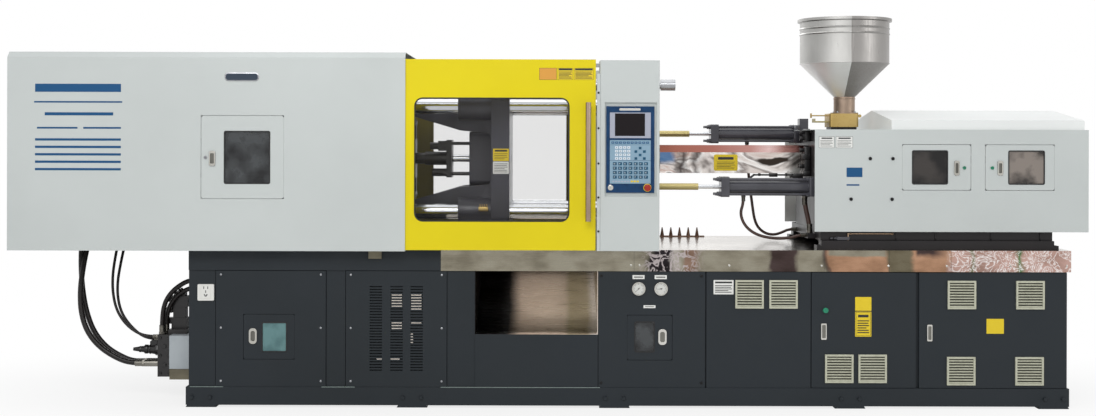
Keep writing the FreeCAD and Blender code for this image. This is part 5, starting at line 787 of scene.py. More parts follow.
hose("traverse_hose_a", "traverse_hoses", "carriage", (
    (1.037, -0.250, 1.103), (1.037, -0.250, 1.062), (1.021, -0.250, 1.014), (1.032, -0.250, 0.964),
    (1.064, -0.250, 0.920), (1.112, -0.250, 0.890), (1.172, -0.250, 0.874), (1.240, -0.250, 0.869),
    (1.305, -0.250, 0.876), (1.346, -0.250, 0.890), (1.380, -0.250, 0.890)), 0.016, HOSE_BROWN)
hose("traverse_hose_b", "traverse_hoses", "carriage", (
    (1.125, 0.250, 1.393), (1.125, 0.250, 1.320), (1.135, 0.257, 1.215), (1.149, 0.265, 1.105),
    (1.163, 0.274, 1.010), (1.175, 0.283, 0.942), (1.198, 0.289, 0.894), (1.240, 0.290, 0.862),
    (1.290, 0.290, 0.854), (1.335, 0.290, 0.868), (1.376, 0.290, 0.888), (1.421, 0.290, 0.888)),
    0.016, HOSE_BROWN)
hose("rear_port_hose", "traverse_hoses", "carriage", (
    (1.371, -0.250, 1.103), (1.371, -0.250, 1.056), (1.397, -0.256, 0.950), (1.397, -0.256, 0.902)),
    0.026, HOSE_BROWN)


# ---- screws and bolts ------------------------------------------------------------------------------
def socket_screw(radius, height, key):
    """Domed socket-head screw that stands out from y = 0 towards the operator."""
    head = disc(0.0, (-height, 0.0), 0.0, radius, 20)
    edit(head, to_operator)
    bpy.ops.mesh.inset(thickness=radius * 0.18, depth=height * 0.18)
    bpy.ops.mesh.inset(thickness=radius * 0.82 - key, depth=height * 0.05)
    bpy.ops.mesh.extrude_region_move(TRANSFORM_OT_translate={"value": (0.0, height * 0.6, 0.0)})
    done()
    return head


def hex_bolt(across, height):
    """Hexagon head with a turned face, on a washer, standing out from y = 0."""
    head = disc(0.0, (-height, -0.002), 0.0, across / math.sqrt(3), 6)
    edit(head, to_operator)
    bpy.ops.mesh.inset(thickness=across * 0.07, depth=height * 0.12)
    done()
    washer = disc(0.0, (-0.002, 0.0), 0.0, across * 0.72, 24)
    return join([head, washer])


def place(model, name, places, body, slot, material):
    """One modelled fastener, copied to every place."""
    finish(join(copies(model, steps(places))), name, body, slot, material, 30.0)


place(socket_screw(0.0055, 0.0035, 0.0022), "panel_screws",
      [(x, PANEL_FACE_Y, z) for x in (-1.743, -1.219, -1.062, -0.585) for z in (0.695, 0.416, 0.137)],
      "machine", "bright_steel", SATIN_STEEL)
place(socket_screw(0.0075, 0.004, 0.003), "gauge_panel_screws",
      [(x, PANEL_FACE_Y, z) for x in (0.251, 0.777) for z in (0.693, 0.132)],
      "machine", "grip_plastic", BLACK_ABS)
place(socket_screw(0.0055, 0.003, 0.0022), "strip_screws",
      [(0.232, COVER_FACE_Y, z) for z in (1.650, 1.466, 1.283, 1.107, 0.931)],
      "machine", "grip_plastic", BLACK_ABS)
place(socket_screw(0.009, 0.005, 0.004), "shroud_screws",
      [(x, SHROUD_FACE_Y, z) for x, z in ((1.677, 1.310), (1.797, 1.310), (1.576, 1.095), (1.793, 1.095))],
      "carriage", "grip_plastic", BLACK_ABS)
place(hex_bolt(0.017, 0.011), "foot_bolts",
      [(left + reach, APRON_FACE_Y, 0.052) for left in (-1.926, -0.820, 0.242, 1.477, 2.545)
       for reach in (0.032, 0.128)],
      "machine", "base_paint", BASE_COAT)
place(socket_screw(0.0055, 0.003, 0.0022), "apron_screws",
      [(x, APRON_FACE_Y, 0.749) for x in (0.407, 0.452, 0.922, 1.406, 1.756, 2.061, 2.395, 2.690)],
      "machine", "bright_steel", PULL_CHROME)
seams = [block((x - 0.0007, x + 0.0007), (-0.5603, -0.5595), (0.718, 0.832))
         for x in (0.423, 1.419, 1.760, 2.085)]
finish(join(seams), "apron_seams", "machine", "stainless", GASKET)


# ---- pressure gauges -------------------------------------------------------------------------------
GAUGES = ((0.447, 0.626, 0.0), (0.564, 0.626, 38.0))         # X, Z and the needle's turn from zero
ZERO = -135                    # where the scale begins, in degrees from the top
# Fine and coarse ticks: step in degrees, count, inner radius and width.
TICKS = ((11.25, 25, 0.0226, 0.0006), (45.0, 7, 0.0202, 0.0013))
GAUGE_Y = PANEL_FACE_Y - 0.0082
dials, inks, needles = [], [], []
for gauge_x, gauge_z, reading in GAUGES:
    dials.append(disc(gauge_x, (GAUGE_Y - 0.0005, GAUGE_Y + 0.0004), gauge_z, 0.0298, 48))
    for step, count, inner, wide in TICKS:
        tick = block((gauge_x - wide / 2, gauge_x + wide / 2), (GAUGE_Y - 0.0008, GAUGE_Y),
                     (gauge_z + inner, gauge_z + 0.0256))
        inks += copies(tick, [turned(gauge_x, gauge_z, ZERO + step * index) for index in range(count)])
    needle = block((gauge_x - 0.0011, gauge_x + 0.0011), (GAUGE_Y - 0.0026, GAUGE_Y - 0.0018),
                   (gauge_z - 0.008, gauge_z + 0.0215))
    edit(needle, on_top)
    bpy.ops.transform.resize(value=(0.2, 1.0, 1.0))
    done()
    needles += copies(needle, [turned(gauge_x, gauge_z, ZERO + reading)])
    needles.append(disc(gauge_x, (GAUGE_Y - 0.0034, GAUGE_Y), gauge_z, 0.003, 20))
finish(join(dials), "gauge_dials", "machine", "gauge_trim", DIAL_WHITE)
finish(join(inks), "gauge_ticks", "machine", "gauge_trim", INK_BLACK)
finish(join(needles), "gauge_needles", "machine", "gauge_trim", BLACK_ABS)


# ---- labels: plain plates with bare fields and bars ------------------------------------------------
FILM = 0.0006                  # a label's thickness
PRINT = 0.00015                # its print stands above it by this


def within(span, margin):
    """Span drawn in by a margin at both ends."""
    return (span[0] + margin, span[1] - margin)


def film(x, z, y, name, body, material, slot, radius=0.002):
    """Label film on a face that looks at the operator."""
    finish(rounded_plate(x, (y - FILM, y + INTO), z, radius), name, body, slot, material)


def ink(fields, y, name, body, slot):
    """Flat printed fields (x, z spans) on a label film."""
    printed = [block(x, (y - FILM - PRINT, y - FILM + 0.0001), z) for x, z in fields]
    finish(join(printed), name, body, slot, INK_BLACK)


def notice(x, z, y, name, body, material, fields, slot="gauge_trim", radius=0.002):
    """Label film with its printed fields."""
    film(x, z, y, name, body, material, slot, radius)
    ink(fields, y, name + "_print", body, slot)


def lines(x, z, count, heavy=0.45):
    """Spans of plain bars under each other, ragged at the right."""
    pitch = (z[1] - z[0]) / count
    spans = []
    for index in range(count):
        top = z[1] - pitch * (index + 0.5)
        short = (0.0, 0.06, 0.0, 0.22, 0.03)[index % 5] * (x[1] - x[0])
        spans.append(((x[0], x[1] - short), (top - pitch * heavy / 2, top + pitch * heavy / 2)))
    return spans


def frame_spans(x, z, wide):
    """Spans of a thin outline drawn inside a label."""
    return [(x, (z[0], z[0] + wide)), (x, (z[1] - wide, z[1])),
            ((x[0], x[0] + wide), z), ((x[1] - wide, x[1]), z)]


# gauge panel's tags
for name, tag_x, tag_z in (("gauge_tag_a", (0.415, 0.478), (0.676, 0.697)),
                           ("gauge_tag_b", (0.531, 0.595), (0.676, 0.697)),
                           ("gauge_tag_c", (0.473, 0.536), (0.524, 0.539))):
    notice(tag_x, tag_z, PANEL_FACE_Y, name, "machine", LABEL_WHITE,
           lines(within(tag_x, 0.008), within(tag_z, 0.003), 1, 0.35))

# plain panel's notice
notice((0.840, 0.945), (0.597, 0.672), PANEL_FACE_Y, "panel_notice", "machine", LABEL_WHITE,
       [((0.848, 0.937), (0.655, 0.664))] + lines((0.848, 0.937), (0.604, 0.647), 5))

# door B's notice and the two doors' plain plates
notice((1.583, 1.668), (0.377, 0.508), PANEL_FACE_Y, "door_b_notice", "cabinet_door_b", LABEL_YELLOW,
       frame_spans((1.587, 1.664), (0.381, 0.504), 0.0016) + [((1.598, 1.653), (0.478, 0.492))]
       + lines((1.595, 1.656), (0.392, 0.466), 6))
film((1.583, 1.668), (0.513, 0.585), PANEL_FACE_Y, "door_b_plate", "cabinet_door_b", LABEL_YELLOW,
     "gauge_trim")
film((2.272, 2.363), (0.394, 0.472), PANEL_FACE_Y, "door_c_plate", "cabinet_door_c", LABEL_YELLOW,
     "gauge_trim")

# guard's notices: an outlined field and two printed ones
notice((-0.076, 0.014), (1.717, 1.778), GUARD_FACE_Y, "guard_notice_a", "front_guard", LABEL_ORANGE,
       frame_spans((-0.076, 0.014), (1.717, 1.778), 0.0012), "guard_paint")
for name, label_x in (("guard_notice_b", (0.020, 0.099)), ("guard_notice_c", (0.105, 0.205))):
    notice(label_x, (1.717, 1.778), GUARD_FACE_Y, name, "front_guard", LABEL_YELLOW,
           [((label_x[0] + 0.005, label_x[1] - 0.004), (1.766, 1.776))]
           + lines(within(label_x, 0.006), (1.722, 1.761), 6) + frame_spans(label_x, (1.717, 1.778), 0.0012),
           "guard_paint")

# shroud's outlined notices
for name, label_x in (("shroud_notice_a", (1.405, 1.487)), ("shroud_notice_b", (1.495, 1.585))):
    notice(label_x, (1.366, 1.427), SHROUD_FACE_Y, name, "carriage", LABEL_WHITE,
           frame_spans(label_x, (1.366, 1.427), 0.0014)
           + [((label_x[0] + 0.014, label_x[1] - 0.012), (1.414, 1.421))]
           + lines(within(label_x, 0.008), (1.372, 1.408), 5, 0.3), "cover_paint")


def livery(bars, y, name, body):
    """Plain vinyl bars (X and Z spans) on a face that looks at the operator."""
    made = [block(x, (y - FILM, y + INTO), z) for x, z in bars]
    finish(join(made), name, body, "cover_paint", VINYL_BLUE)


# shroud's two bars, and the clamp cover's bars over five rules
livery([((1.552, 1.636), (1.212, 1.262)), ((1.552, 1.620), (1.166, 1.174))],
       SHROUD_FACE_Y, "shroud_livery", "carriage")
livery([((-2.690, -2.245), (1.648, 1.690)), ((-2.695, -2.238), (1.592, 1.600)),
        ((-2.640, -2.285), (1.526, 1.542)), ((-2.680, -2.470), (1.457, 1.466)),
        ((-2.440, -2.245), (1.457, 1.466))]
       + [((-2.690, -2.245), (1.395 - 0.0385 * index, 1.407 - 0.0385 * index)) for index in range(5)],
       COVER_FACE_Y, "cover_livery", "machine")

# clamp cover's badge plate: bare blue field with a bright rim
badge = rounded_plate((-1.707, -1.529), (COVER_FACE_Y - 0.003, COVER_FACE_Y + INTO), (1.706, 1.750), 0.018,
                      8)
finish(rounded(badge, 0.0008), "badge_rim", "machine", "bright_steel", SATIN_STEEL)
field = rounded_plate((-1.701, -1.535), (COVER_FACE_Y - 0.0034, COVER_FACE_Y - 0.002), (1.711, 1.745), 0.014,
                      8)
finish(field, "badge_field", "machine", "console_blue", BADGE_NAVY)

# barrel cover's and moving platen's notices
BARREL_FACE_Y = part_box("barrel_cover")[0][1]
notice((0.895, 1.028), (1.235, 1.326), BARREL_FACE_Y, "barrel_notice", "carriage", LABEL_YELLOW,
       [((0.918, 1.005), (1.297, 1.312))] + lines((0.912, 1.012), (1.246, 1.288), 5, 0.3), "bright_steel",
       0.010)
PLATEN_SIDE_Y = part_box("moving_platen")[0][1]
for name, label_z, material in (("platen_notice_top", (1.291, 1.357), LABEL_YELLOW),
                                ("platen_notice_low", (1.222, 1.288), LABEL_WHITE)):
    film((-0.325, -0.240), label_z, PLATEN_SIDE_Y, name, "moving_platen", material, "cast_paint")
ink([((-0.316, -0.249), (1.341, 1.351))] + lines((-0.318, -0.247), (1.298, 1.334), 4, 0.3)
    + lines((-0.318, -0.247), (1.228, 1.280), 6, 0.3), PLATEN_SIDE_Y, "platen_notice_print", "moving_platen",
    "cast_paint")


# ---- rubber seals round the door panes -------------------------------------------------------------
def seal(x, z, y, name, body, radius=0.010, wide=0.005):
    """Rubber edging pressed over the rim of a pane's opening."""
    outer = rounded_plate((x[0] - 0.001, x[1] + 0.001), (y - 0.0015, y + 0.0032),
                          (z[0] - 0.001, z[1] + 0.001), radius, 6)
    inner = rounded_plate(within(x, wide), (y - 0.02, y + 0.02), within(z, wide),
                          max(radius - wide, 0.003), 6)
    active(outer)
    hole = outer.modifiers.new("hole", "BOOLEAN")
    hole.object = inner
    hole.solver = "EXACT"
    bpy.ops.object.modifier_apply(modifier=hole.name)
    bpy.data.objects.remove(inner)
    finish(rounded(outer, 0.0006, 2, 50.0), name, body, "hose_rubber", GASKET)


seal(*CLAMP_WINDOW, COVER_FACE_Y, "clamp_hatch_seal", "clamp_hatch")
seal(SHROUD_WINDOWS_X[0], SHROUD_WINDOW_Z, SHROUD_FACE_Y, "shroud_left_seal", "shroud_door_left")
seal(SHROUD_WINDOWS_X[1], SHROUD_WINDOW_Z, SHROUD_FACE_Y, "shroud_right_seal", "shroud_door_right")
seal(HATCH_WINDOWS_X[0], (0.289, 0.446), PANEL_FACE_Y, "hatch_left_seal", "hatch_left")
seal(HATCH_WINDOWS_X[1], (0.292, 0.454), PANEL_FACE_Y, "hatch_right_seal", "hatch_right")
seal((-0.724, 0.081), (0.980, 1.623), GUARD_FACE_Y, "guard_window_seal", "front_guard", 0.045, 0.006)


# ---- socket plate, console and locks ---------------------------------------------------------------
SOCKET_FACE_Y = -0.561
SLOT_Y = (SOCKET_FACE_Y - 0.0004, SOCKET_FACE_Y + INTO)
slots = []
for angle in (-30, 30):
    slots += copies(block((-1.8245, -1.8195), SLOT_Y, (0.598, 0.612)),
                    [Matrix.Translation((0.0, 0.0, -0.018)) @ turned(-1.822, 0.596, angle)])
slots.append(block((-1.8240, -1.8200), SLOT_Y, (0.599, 0.612)))
for shift in (-0.0105, 0.0105):
    slots.append(block((-1.8240 + shift, -1.8200 + shift), SLOT_Y, (0.619, 0.632)))
finish(join(slots), "socket_slots", "machine", "grip_plastic", INK_BLACK)
rim = rounded_plate((-1.848, -1.796), (SOCKET_FACE_Y - 0.0012, SOCKET_FACE_Y + INTO), (0.568, 0.640), 0.004)
edit(rim, to_operator)
bpy.ops.mesh.inset(thickness=0.0014)
bpy.ops.mesh.extrude_region_move(TRANSFORM_OT_translate={"value": (0.0, 0.0011, 0.0)})
done()
finish(rim, "socket_rim", "machine", "grip_plastic", SOCKET_ABS)

# console: marks on the keys, and flat fields and rules on the plate round them
KEY_FACE_Y = -0.6385
KEY_PRINT_Y = (KEY_FACE_Y - PRINT, KEY_FACE_Y + 0.0001)
PLATE_PRINT_Y = (CONSOLE_PLATE_Y - 0.0002, CONSOLE_PLATE_Y + 0.0001)
glyphs = []
for column in range(7):
    for row in range(4):
        x, z = 0.307 + 0.027 * column, 1.205 + 0.023 * row
        glyphs.append(block((x + 0.004, x + 0.012), KEY_PRINT_Y, (z + 0.009, z + 0.0105)))
        glyphs.append(block((x + 0.004, x + 0.009 + 0.004 * ((column + row) % 2)), KEY_PRINT_Y,
                            (z + 0.005, z + 0.0062)))
for column in range(10):
    x = 0.299 + 0.020 * column
    glyphs.append(block((x + 0.004, x + 0.011), KEY_PRINT_Y, (1.3908, 1.3920)))
finish(join(glyphs), "key_marks", "machine", "key_plastic", LABEL_WHITE)
digits = []
for column in range(4):
    for row in range(4):
        x, z = 0.318 + 0.021 * column, 1.303 + 0.019 * row
        digits.append(block((x + 0.006, x + 0.010), KEY_PRINT_Y, (z + 0.0045, z + 0.0085)))
finish(join(digits), "number_marks", "machine", "key_plastic", INK_BLACK)
FIELD_PITCH = 0.0155
for name, count, left, right, span_z, material in (
        ("keypad_yellow_fields", 3, 0.399, 0.411, (1.186, 1.195), LABEL_YELLOW),
        ("keypad_pale_fields", 6, 0.303, 0.314, (1.187, 1.193), FRAME_FILM)):
    fields = [block((left + FIELD_PITCH * column, right + FIELD_PITCH * column), PLATE_PRINT_Y, span_z)
              for column in range(count)]
    finish(join(fields), name, "machine", "key_plastic", material)
rules = [block((0.291, 0.503), PLATE_PRINT_Y, span_z) for span_z in ((1.2985, 1.2998), (1.3795, 1.3805))]
finish(join(rules), "keypad_rules", "machine", "key_plastic", CONSOLE_ABS)
plate = rounded_plate((0.340, 0.450), (-0.6344, -0.6335), (1.558, 1.570), 0.004)
finish(plate, "console_plate", "machine", "bright_steel", PULL_CHROME)

collar = disc(0.486, (-0.6375, -0.6335), 1.158, 0.0205, 48)
edit(collar, to_operator)
bpy.ops.mesh.inset(thickness=0.0012, depth=0.0008)
done()
finish(collar, "stop_button_collar", "machine", "gauge_trim", LABEL_YELLOW)
ring = disc(0.295, (-0.6368, -0.6335), 1.158, 0.0145, 40)
finish(rounded(ring, 0.0008), "key_switch_ring", "machine", "bright_steel", PULL_CHROME)


def cam_slot(x, z, y, name, body):
    """Screwdriver slot across a quarter-turn lock."""
    slot = block((x - 0.0055, x + 0.0055), (y - 0.00435, y - 0.0038), (z - 0.0009, z + 0.0009))
    finish(join(copies(slot, [turned(x, z, 20.0)])), name, body, "grip_plastic", INK_BLACK)


cam_slot(-1.806, 1.309, COVER_FACE_Y, "clamp_hatch_lock_slot", "clamp_hatch")
cam_slot(2.176, 1.262, SHROUD_FACE_Y, "shroud_left_lock_slot", "shroud_door_left")
cam_slot(2.324, 1.262, SHROUD_FACE_Y, "shroud_right_lock_slot", "shroud_door_right")


# ---- hopper: welded seam, neck bead, shoulder weld and flange bolts --------------------------------
seam = block((1.6365, 1.6395), (-0.2478, -0.2465), (1.837, 1.990))
finish(rounded(seam, 0.0004), "hopper_seam", "carriage", "stainless", HOPPER_STAINLESS)
finish(wire_ring(1.640, 0.0605, 0.0022, (72, 10)), "hopper_neck_bead", "carriage", "stainless",
       NECK_STAINLESS, 60.0)
finish(wire_ring(1.8355, 0.2472, 0.0018, (120, 8)), "hopper_shoulder_weld", "carriage", "stainless",
       HOPPER_STAINLESS, 60.0)
neck_bolts = [Matrix.Translation((HOPPER_X, 0.0, 1.562)) @ turn(45 + 90 * index, "Z")
              @ Matrix.Translation((0.0685, 0.0, 0.0)) @ turn(-90, "X") for index in range(4)]
finish(join(copies(hex_bolt(0.010, 0.007), neck_bolts)), "hopper_flange_bolts", "carriage", "bright_steel",
       SATIN_STEEL)


# ---- hydraulic details ------------------------------------------------------------------------------
# pilot valve: stepped collars on its cone and a plug on top
PILOT_Y, PILOT_Z = -0.230, 0.255
collars = [rounded(bar_along(x, PILOT_Y, PILOT_Z, radius, vertices), 0.0015)
           for x, radius, vertices in (((-2.262, -2.250), 0.0185, 6), ((-2.232, -2.214), 0.0250, 32),
                                       ((-2.205, -2.199), 0.0270, 32), ((-2.172, -2.150), 0.0350, 8))]
collars.append(rounded(block((-2.196, -2.160), (PILOT_Y - 0.014, PILOT_Y + 0.014), (0.272, 0.306)), 0.003))
collars.append(rounded(bar_along((-2.203, -2.190), PILOT_Y, 0.290, 0.010, 20), 0.001))
finish(join(collars), "pilot_valve_collars", "machine", "cast_paint", VALVE_BLACK)

# manifold: socket screws and blanking plugs on the face towards the operator
MANIFOLD_FACE_Y = -0.310
place(socket_screw(0.0080, 0.007, 0.0036), "manifold_screws",
      [(x, MANIFOLD_FACE_Y, z) for x in (-2.128, -2.082) for z in (0.135, 0.232, 0.327)],
      "machine", "cast_paint", VALVE_BLACK)
place(hex_bolt(0.019, 0.008), "manifold_plugs", [(-2.105, MANIFOLD_FACE_Y, z) for z in (0.180, 0.282)],
      "machine", "cast_paint", VALVE_BLACK)

# valve stack: solenoid plugs, their sockets and tie screws
STACK_Y = (-0.222, -0.174)
stack_parts = []
for low in (0.392, 0.452, 0.512):
    stack_parts.append(rounded(block((-2.116, -2.086), STACK_Y, (low, low + 0.034)), 0.004))
    stack_parts.append(rounded(bar_along((-2.128, -2.114), sum(STACK_Y) / 2, low + 0.017, 0.011, 20), 0.0015))
stack_parts += [upright(-2.046, y, (0.569, 0.585), 0.007, 6) for y in STACK_Y]
finish(join(stack_parts), "valve_stack_plugs", "machine", "cast_paint", VALVE_BLACK)

# carriage bed: thin copper pipe with its elbow and a small valve block, and two upright ribs
PIPE_Y = -0.456
pipe = [bar_along((1.566, 1.800), PIPE_Y, 0.910, 0.003, 20),
        upright(1.566, PIPE_Y, (0.859, 0.909), 0.003, 20), ball(1.566, PIPE_Y, 0.910, 0.0048),
        bar_along((1.574, 1.583), PIPE_Y, 0.910, 0.0055, 6),
        bar_along((1.792, 1.806), PIPE_Y, 0.910, 0.0058, 6)]
finish(join(pipe), "bed_copper_pipe", "carriage", "zinc_yellow", COPPER_TUBE)
fittings = [rounded(block((1.505, 1.572), (-0.468, -0.4445), (0.876, 0.894)), 0.002),
            rounded(bar_along((1.492, 1.506), PIPE_Y, 0.885, 0.0085, 6), 0.0008),
            rounded(bar_along((1.470, 1.486), PIPE_Y, 0.885, 0.0070, 20), 0.0008)]
finish(join(fittings), "bed_valve_block", "carriage", "bright_steel", CYLINDER_ENAMEL)
ribs = [rounded(block((x - 0.004, x + 0.004), (-0.4500, -0.4445), (0.877, 0.9215)), 0.001)
        for x in (1.822, 2.033, 2.328, 2.590)]
finish(join(ribs), "bed_ribs", "carriage", "cast_paint", CARRIAGE_PAINT)

# traverse cylinders: bolt heads on the inner face of the rear caps and nuts behind the front flanges
heads = [Matrix.Translation((x, y + across, z + up)) @ turn(-90, "Z")
         for y, z in TRAVERSE_AXES for x in (0.910, 1.3885)
         for across in (-0.041, 0.041) for up in (-0.041, 0.041)]
finish(join(copies(hex_bolt(0.019, 0.012), heads)), "traverse_cylinder_bolts", "carriage", "cast_paint",
       CYLINDER_ENAMEL)

# brackets and bolt heads at the barrel's root, in front of the shroud's open end
roots = [rounded(block((1.392, 1.424), (-0.128, -0.090), (1.205, 1.372)), 0.004),
         rounded(block((1.380, 1.424), (-0.134, -0.086), (1.300, 1.330)), 0.003),
         rounded(block((1.384, 1.424), (-0.140, -0.086), (1.205, 1.235)), 0.003),
         rounded(bar_along((1.366, 1.394), -0.110, 1.352, 0.013, 6), 0.001),
         rounded(bar_along((1.366, 1.394), -0.110, 1.262, 0.013, 6), 0.001),
         rounded(block((1.396, 1.424), (-0.128, -0.060), (1.400, 1.470)), 0.004),
         rounded(bar_along((1.370, 1.398), -0.098, 1.452, 0.014, 6), 0.001),
         rounded(bar_along((1.370, 1.398), -0.098, 1.416, 0.014, 6), 0.001)]
finish(join(roots), "barrel_root_brackets", "carriage", "cast_paint", VALVE_BLACK)

# moving platen: grease distributor with nipples on the lower boss
nipples = [rounded(block((-0.402, -0.350), (-0.392, -0.374), (1.022, 1.044)), 0.002)]
for x in (-0.394, -0.382, -0.370, -0.358):
    nipples += [upright(x, -0.384, (1.043, 1.051), 0.0045, 6), upright(x, -0.384, (1.051, 1.060), 0.0026, 16)]
finish(join(nipples), "grease_distributor", "moving_platen", "zinc_yellow", SEAT_BRASS)


# grilles: painted shade, dark strips that show between the slats
SLATS = 9
SLATTED = 0.1285               # height that the slats of a grille share
DOOR_C_GRILLES = ((2.067, 0.523), (2.426, 0.523), (2.064, 0.124), (2.422, 0.124))


def gap_shade_strips(corners, name, body):
    """Painted shade: dark strips behind the slats of square grilles, from their lower left corners."""
    dark_strips = []
    for left, bottom in corners:
        strip = block((left + 0.011, left + 0.1375), (PANEL_FACE_Y - 0.0050, PANEL_FACE_Y - 0.0025),
                      (bottom + 0.0175, bottom + 0.0245))
        dark_strips += copies(strip, steps([(0.0, 0.0, SLATTED / SLATS * index) for index in range(SLATS)]))
    finish(join(dark_strips), name, body, "key_plastic", SLAT_PAINTED_SHADE)


gap_shade_strips(((0.954, 0.524), (1.132, 0.524)), "panel_slat_shade", "machine")
gap_shade_strips(((1.425, 0.135), (1.600, 0.135)), "door_b_slat_shade", "cabinet_door_b")
gap_shade_strips(DOOR_C_GRILLES, "door_c_slat_shade", "cabinet_door_c")

# ejector cylinder: rear sleeve that reaches back to the window's left edge
sleeve = bar_along((-0.780, -0.7165), 0.0, 1.300, 0.0315, 40)
edit(sleeve, lambda _, normal: normal.x < -FACING)
bpy.ops.mesh.inset(thickness=0.0075)
bpy.ops.transform.translate(value=(0.006, 0.0, 0.0))
done()
finish(rounded(sleeve, 0.0012), "ejector_sleeve", "moving_platen", "cast_paint", VALVE_BLACK)

# vent panel: pale inner sheet that shows through some of the slots
SLOT_BOTTOM, SLOT_PITCH = 0.192, 0.0146
glimpses = []
for x, rows in (((-0.926, -0.899), (4,)), ((-0.853, -0.806), (4,)),
                ((-0.848, -0.794), (15, 16, 17, 23, 24, 25, 26, 27)),
                ((-0.746, -0.692), (17, 22, 23, 24, 25, 26, 27)), ((-0.748, -0.736), (10, 11, 12, 13))):
    for row in rows:
        z = SLOT_BOTTOM + SLOT_PITCH * row
        glimpses.append(block(x, (-0.5535, -0.5495), (z + 0.0004, z + 0.0056)))
finish(join(glimpses), "vent_glimpses", "machine", "grip_plastic", VENT_CREAM)

# plinth: painted highlight, a line of sheen along its upper edge where it catches the light
sheen = [bar_along(x, -0.5590, 0.1065, 0.0022, 10)
         for x in ((-1.905, -1.730), (-1.214, -1.040), (-0.590, 0.245))]
finish(join(sheen), "plinth_sheen_lines", "machine", "base_paint", EDGE_PAINTED_HIGHLIGHT)

# traverse cylinders: square rear heads behind the bolt heads
heads = [rounded(block((1.3890, 1.4245), (y - 0.052, y + 0.052), (z - 0.052, z + 0.052)), 0.004)
         for y, z in TRAVERSE_AXES]
finish(join(heads), "traverse_rear_heads", "carriage", "cast_paint", CYLINDER_ENAMEL)

# barrel cover: grease pipe along its lower edge, held by two saddles and a junction block
PIPE_PLACE = (-0.072, 1.2125)
bend = copies(bar_along((1.083, 1.121), *PIPE_PLACE, 0.0058, 16), [turned(1.120, PIPE_PLACE[1], -38)])
grease = bend + [bar_along((1.120, 1.392), *PIPE_PLACE, 0.0048, 16), ball(1.120, *PIPE_PLACE, 0.0062)]
for x, y, z in (((1.144, 1.156), (-0.080, -0.064), (1.206, 1.2225)),
                ((1.294, 1.306), (-0.080, -0.064), (1.206, 1.2225)),
                ((1.205, 1.250), (-0.086, -0.058), (1.2015, 1.2225)),
                ((1.334, 1.392), (-0.090, -0.058), (1.194, 1.2205))):
    grease.append(rounded(block(x, y, z), 0.002))
grease.append(rounded(bar_along((1.318, 1.335), -0.074, 1.2045, 0.0085, 6), 0.0008))
finish(join(grease), "cover_grease_pipe", "carriage", "cast_paint", VALVE_BLACK)


# ---- floor, light and camera ----------------------------------------------------------------------
def camera_rays(tree):
    """1 for rays that come from the camera, from a mirror or through glass, else 0."""
    path = add_node(tree, "ShaderNodeLightPath")
    seen = add_node(tree, "ShaderNodeMath",
                    {0: path.outputs["Is Camera Ray"], 1: path.outputs["Is Glossy Ray"]}, operation="ADD")
    return add_node(tree, "ShaderNodeMath", {0: seen.outputs[0], 1: path.outputs["Is Transmission Ray"]},
                    operation="ADD", use_clamp=True).outputs[0]


def make_floor():
    """Plain pale floor: it keeps the machine's shadow close by and is seen as white further off."""
    bpy.ops.object.select_all(action="DESELECT")
    bpy.ops.mesh.primitive_plane_add(size=60.0, location=(0.0, 0.0, -0.0005))
    floor = bpy.context.object
    floor.name = "studio_floor"
    material, tree, shader = new_material("floor_matt_white", Roughness=0.9)
    feed(tree, shader, "Base Color", noise_of(tree, 2500.0, 2.0), [(0.3, "#F1F1EF"), (0.7, "#F6F6F5")])
    spot = add_node(tree, "ShaderNodeTexCoord")
    flat = vector_math(tree, "MULTIPLY", spot.outputs["Object"], (0.42, 1.0, 0.0))
    reach = vector_math(tree, "LENGTH", flat.outputs[0])
    fade = add_node(tree, "ShaderNodeMapRange",
                    {"Value": reach.outputs["Value"], "From Min": 0.7, "From Max": 2.0, "To Min": 0.78,
                     "To Max": 1.0}, interpolation_type="SMOOTHSTEP")
    white = add_node(tree, "ShaderNodeEmission", {"Color": (1.0, 1.0, 1.0, 1.0), "Strength": 1.0})
    share = times(tree, fade.outputs["Result"], camera_rays(tree))
    mix = add_node(tree, "ShaderNodeMixShader", {0: share, 1: shader.outputs["BSDF"]})
    tree.links.new(white.outputs[0], mix.inputs[2])
    output = next(node for node in tree.nodes if node.type == "OUTPUT_MATERIAL")
    tree.links.new(mix.outputs[0], output.inputs["Surface"])
    floor.data.materials.append(material)


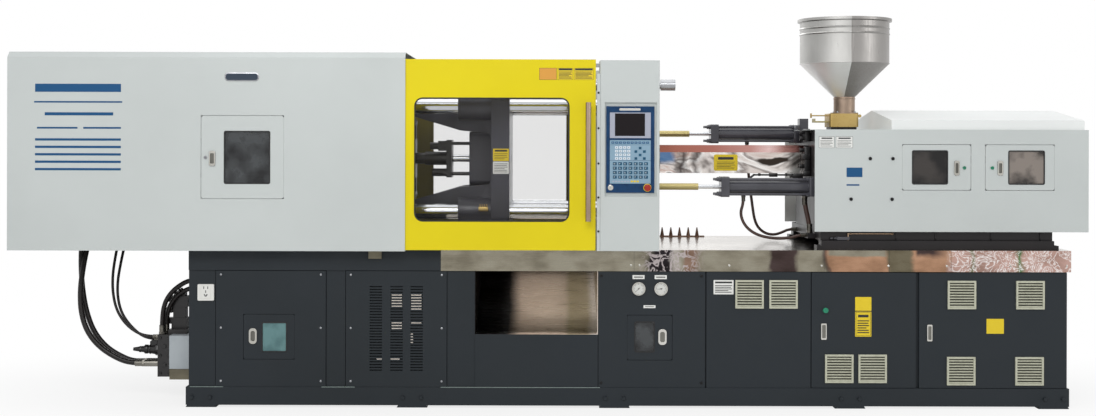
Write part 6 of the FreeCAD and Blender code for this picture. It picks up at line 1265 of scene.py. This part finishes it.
def make_world():
    """Even studio light; the background itself is seen as white."""
    world = bpy.data.worlds.new("studio")
    bpy.context.scene.world = world
    world.use_nodes = True
    tree = world.node_tree
    tree.nodes.clear()
    glow = add_node(tree, "ShaderNodeBackground", {"Color": (0.95, 0.97, 1.0, 1.0), "Strength": 0.43})
    white = add_node(tree, "ShaderNodeBackground", {"Color": (1.0, 1.0, 1.0, 1.0), "Strength": 1.0})
    mix = add_node(tree, "ShaderNodeMixShader", {0: camera_rays(tree)})
    tree.links.new(glow.outputs[0], mix.inputs[1])
    tree.links.new(white.outputs[0], mix.inputs[2])
    output = add_node(tree, "ShaderNodeOutputWorld")
    tree.links.new(mix.outputs[0], output.inputs["Surface"])


def add_lamp(name, stand, aim, size, power):
    """Large soft lamp aimed at a point."""
    data = bpy.data.lights.new(name, "AREA")
    data.shape = "RECTANGLE"
    data.size, data.size_y = size
    data.energy = power
    lamp = bpy.data.objects.new(name, data)
    bpy.context.scene.collection.objects.link(lamp)
    lamp.location = stand
    lamp.rotation_euler = (Vector(aim) - Vector(stand)).to_track_quat("-Z", "Y").to_euler()


make_floor()
make_world()
add_lamp("soft_front", (-1.5, -6.5, 5.2), (-0.2, 0.0, 0.9), (6.0, 3.0), 262.0)
add_lamp("soft_top", (0.5, 0.5, 6.5), (0.3, 0.0, 1.0), (7.0, 4.0), 112.0)
add_lamp("soft_right", (6.5, -3.5, 3.2), (1.0, 0.0, 0.9), (3.0, 3.0), 54.0)
add_lamp("soft_back", (-1.0, 6.5, 4.5), (0.0, 0.0, 1.0), (6.0, 3.0), 115.0)

# The camera stands square to the machine's side and shifts its picture down instead of tilting.
CAMERA_PLACE = (-0.030, -8.060, 1.404)
CAMERA_ROLL = 0.14             # degrees
lens = bpy.data.cameras.new("camera")
lens.sensor_width = 36.0
lens.lens = 47.0
lens.shift_y = -0.062
camera = bpy.data.objects.new("camera", lens)
bpy.context.scene.collection.objects.link(camera)
camera.matrix_world = Matrix.Translation(CAMERA_PLACE) @ turn(90, "X") @ turn(CAMERA_ROLL, "Z")
bpy.context.scene.camera = camera
bpy.context.scene.view_settings.view_transform = "Standard"
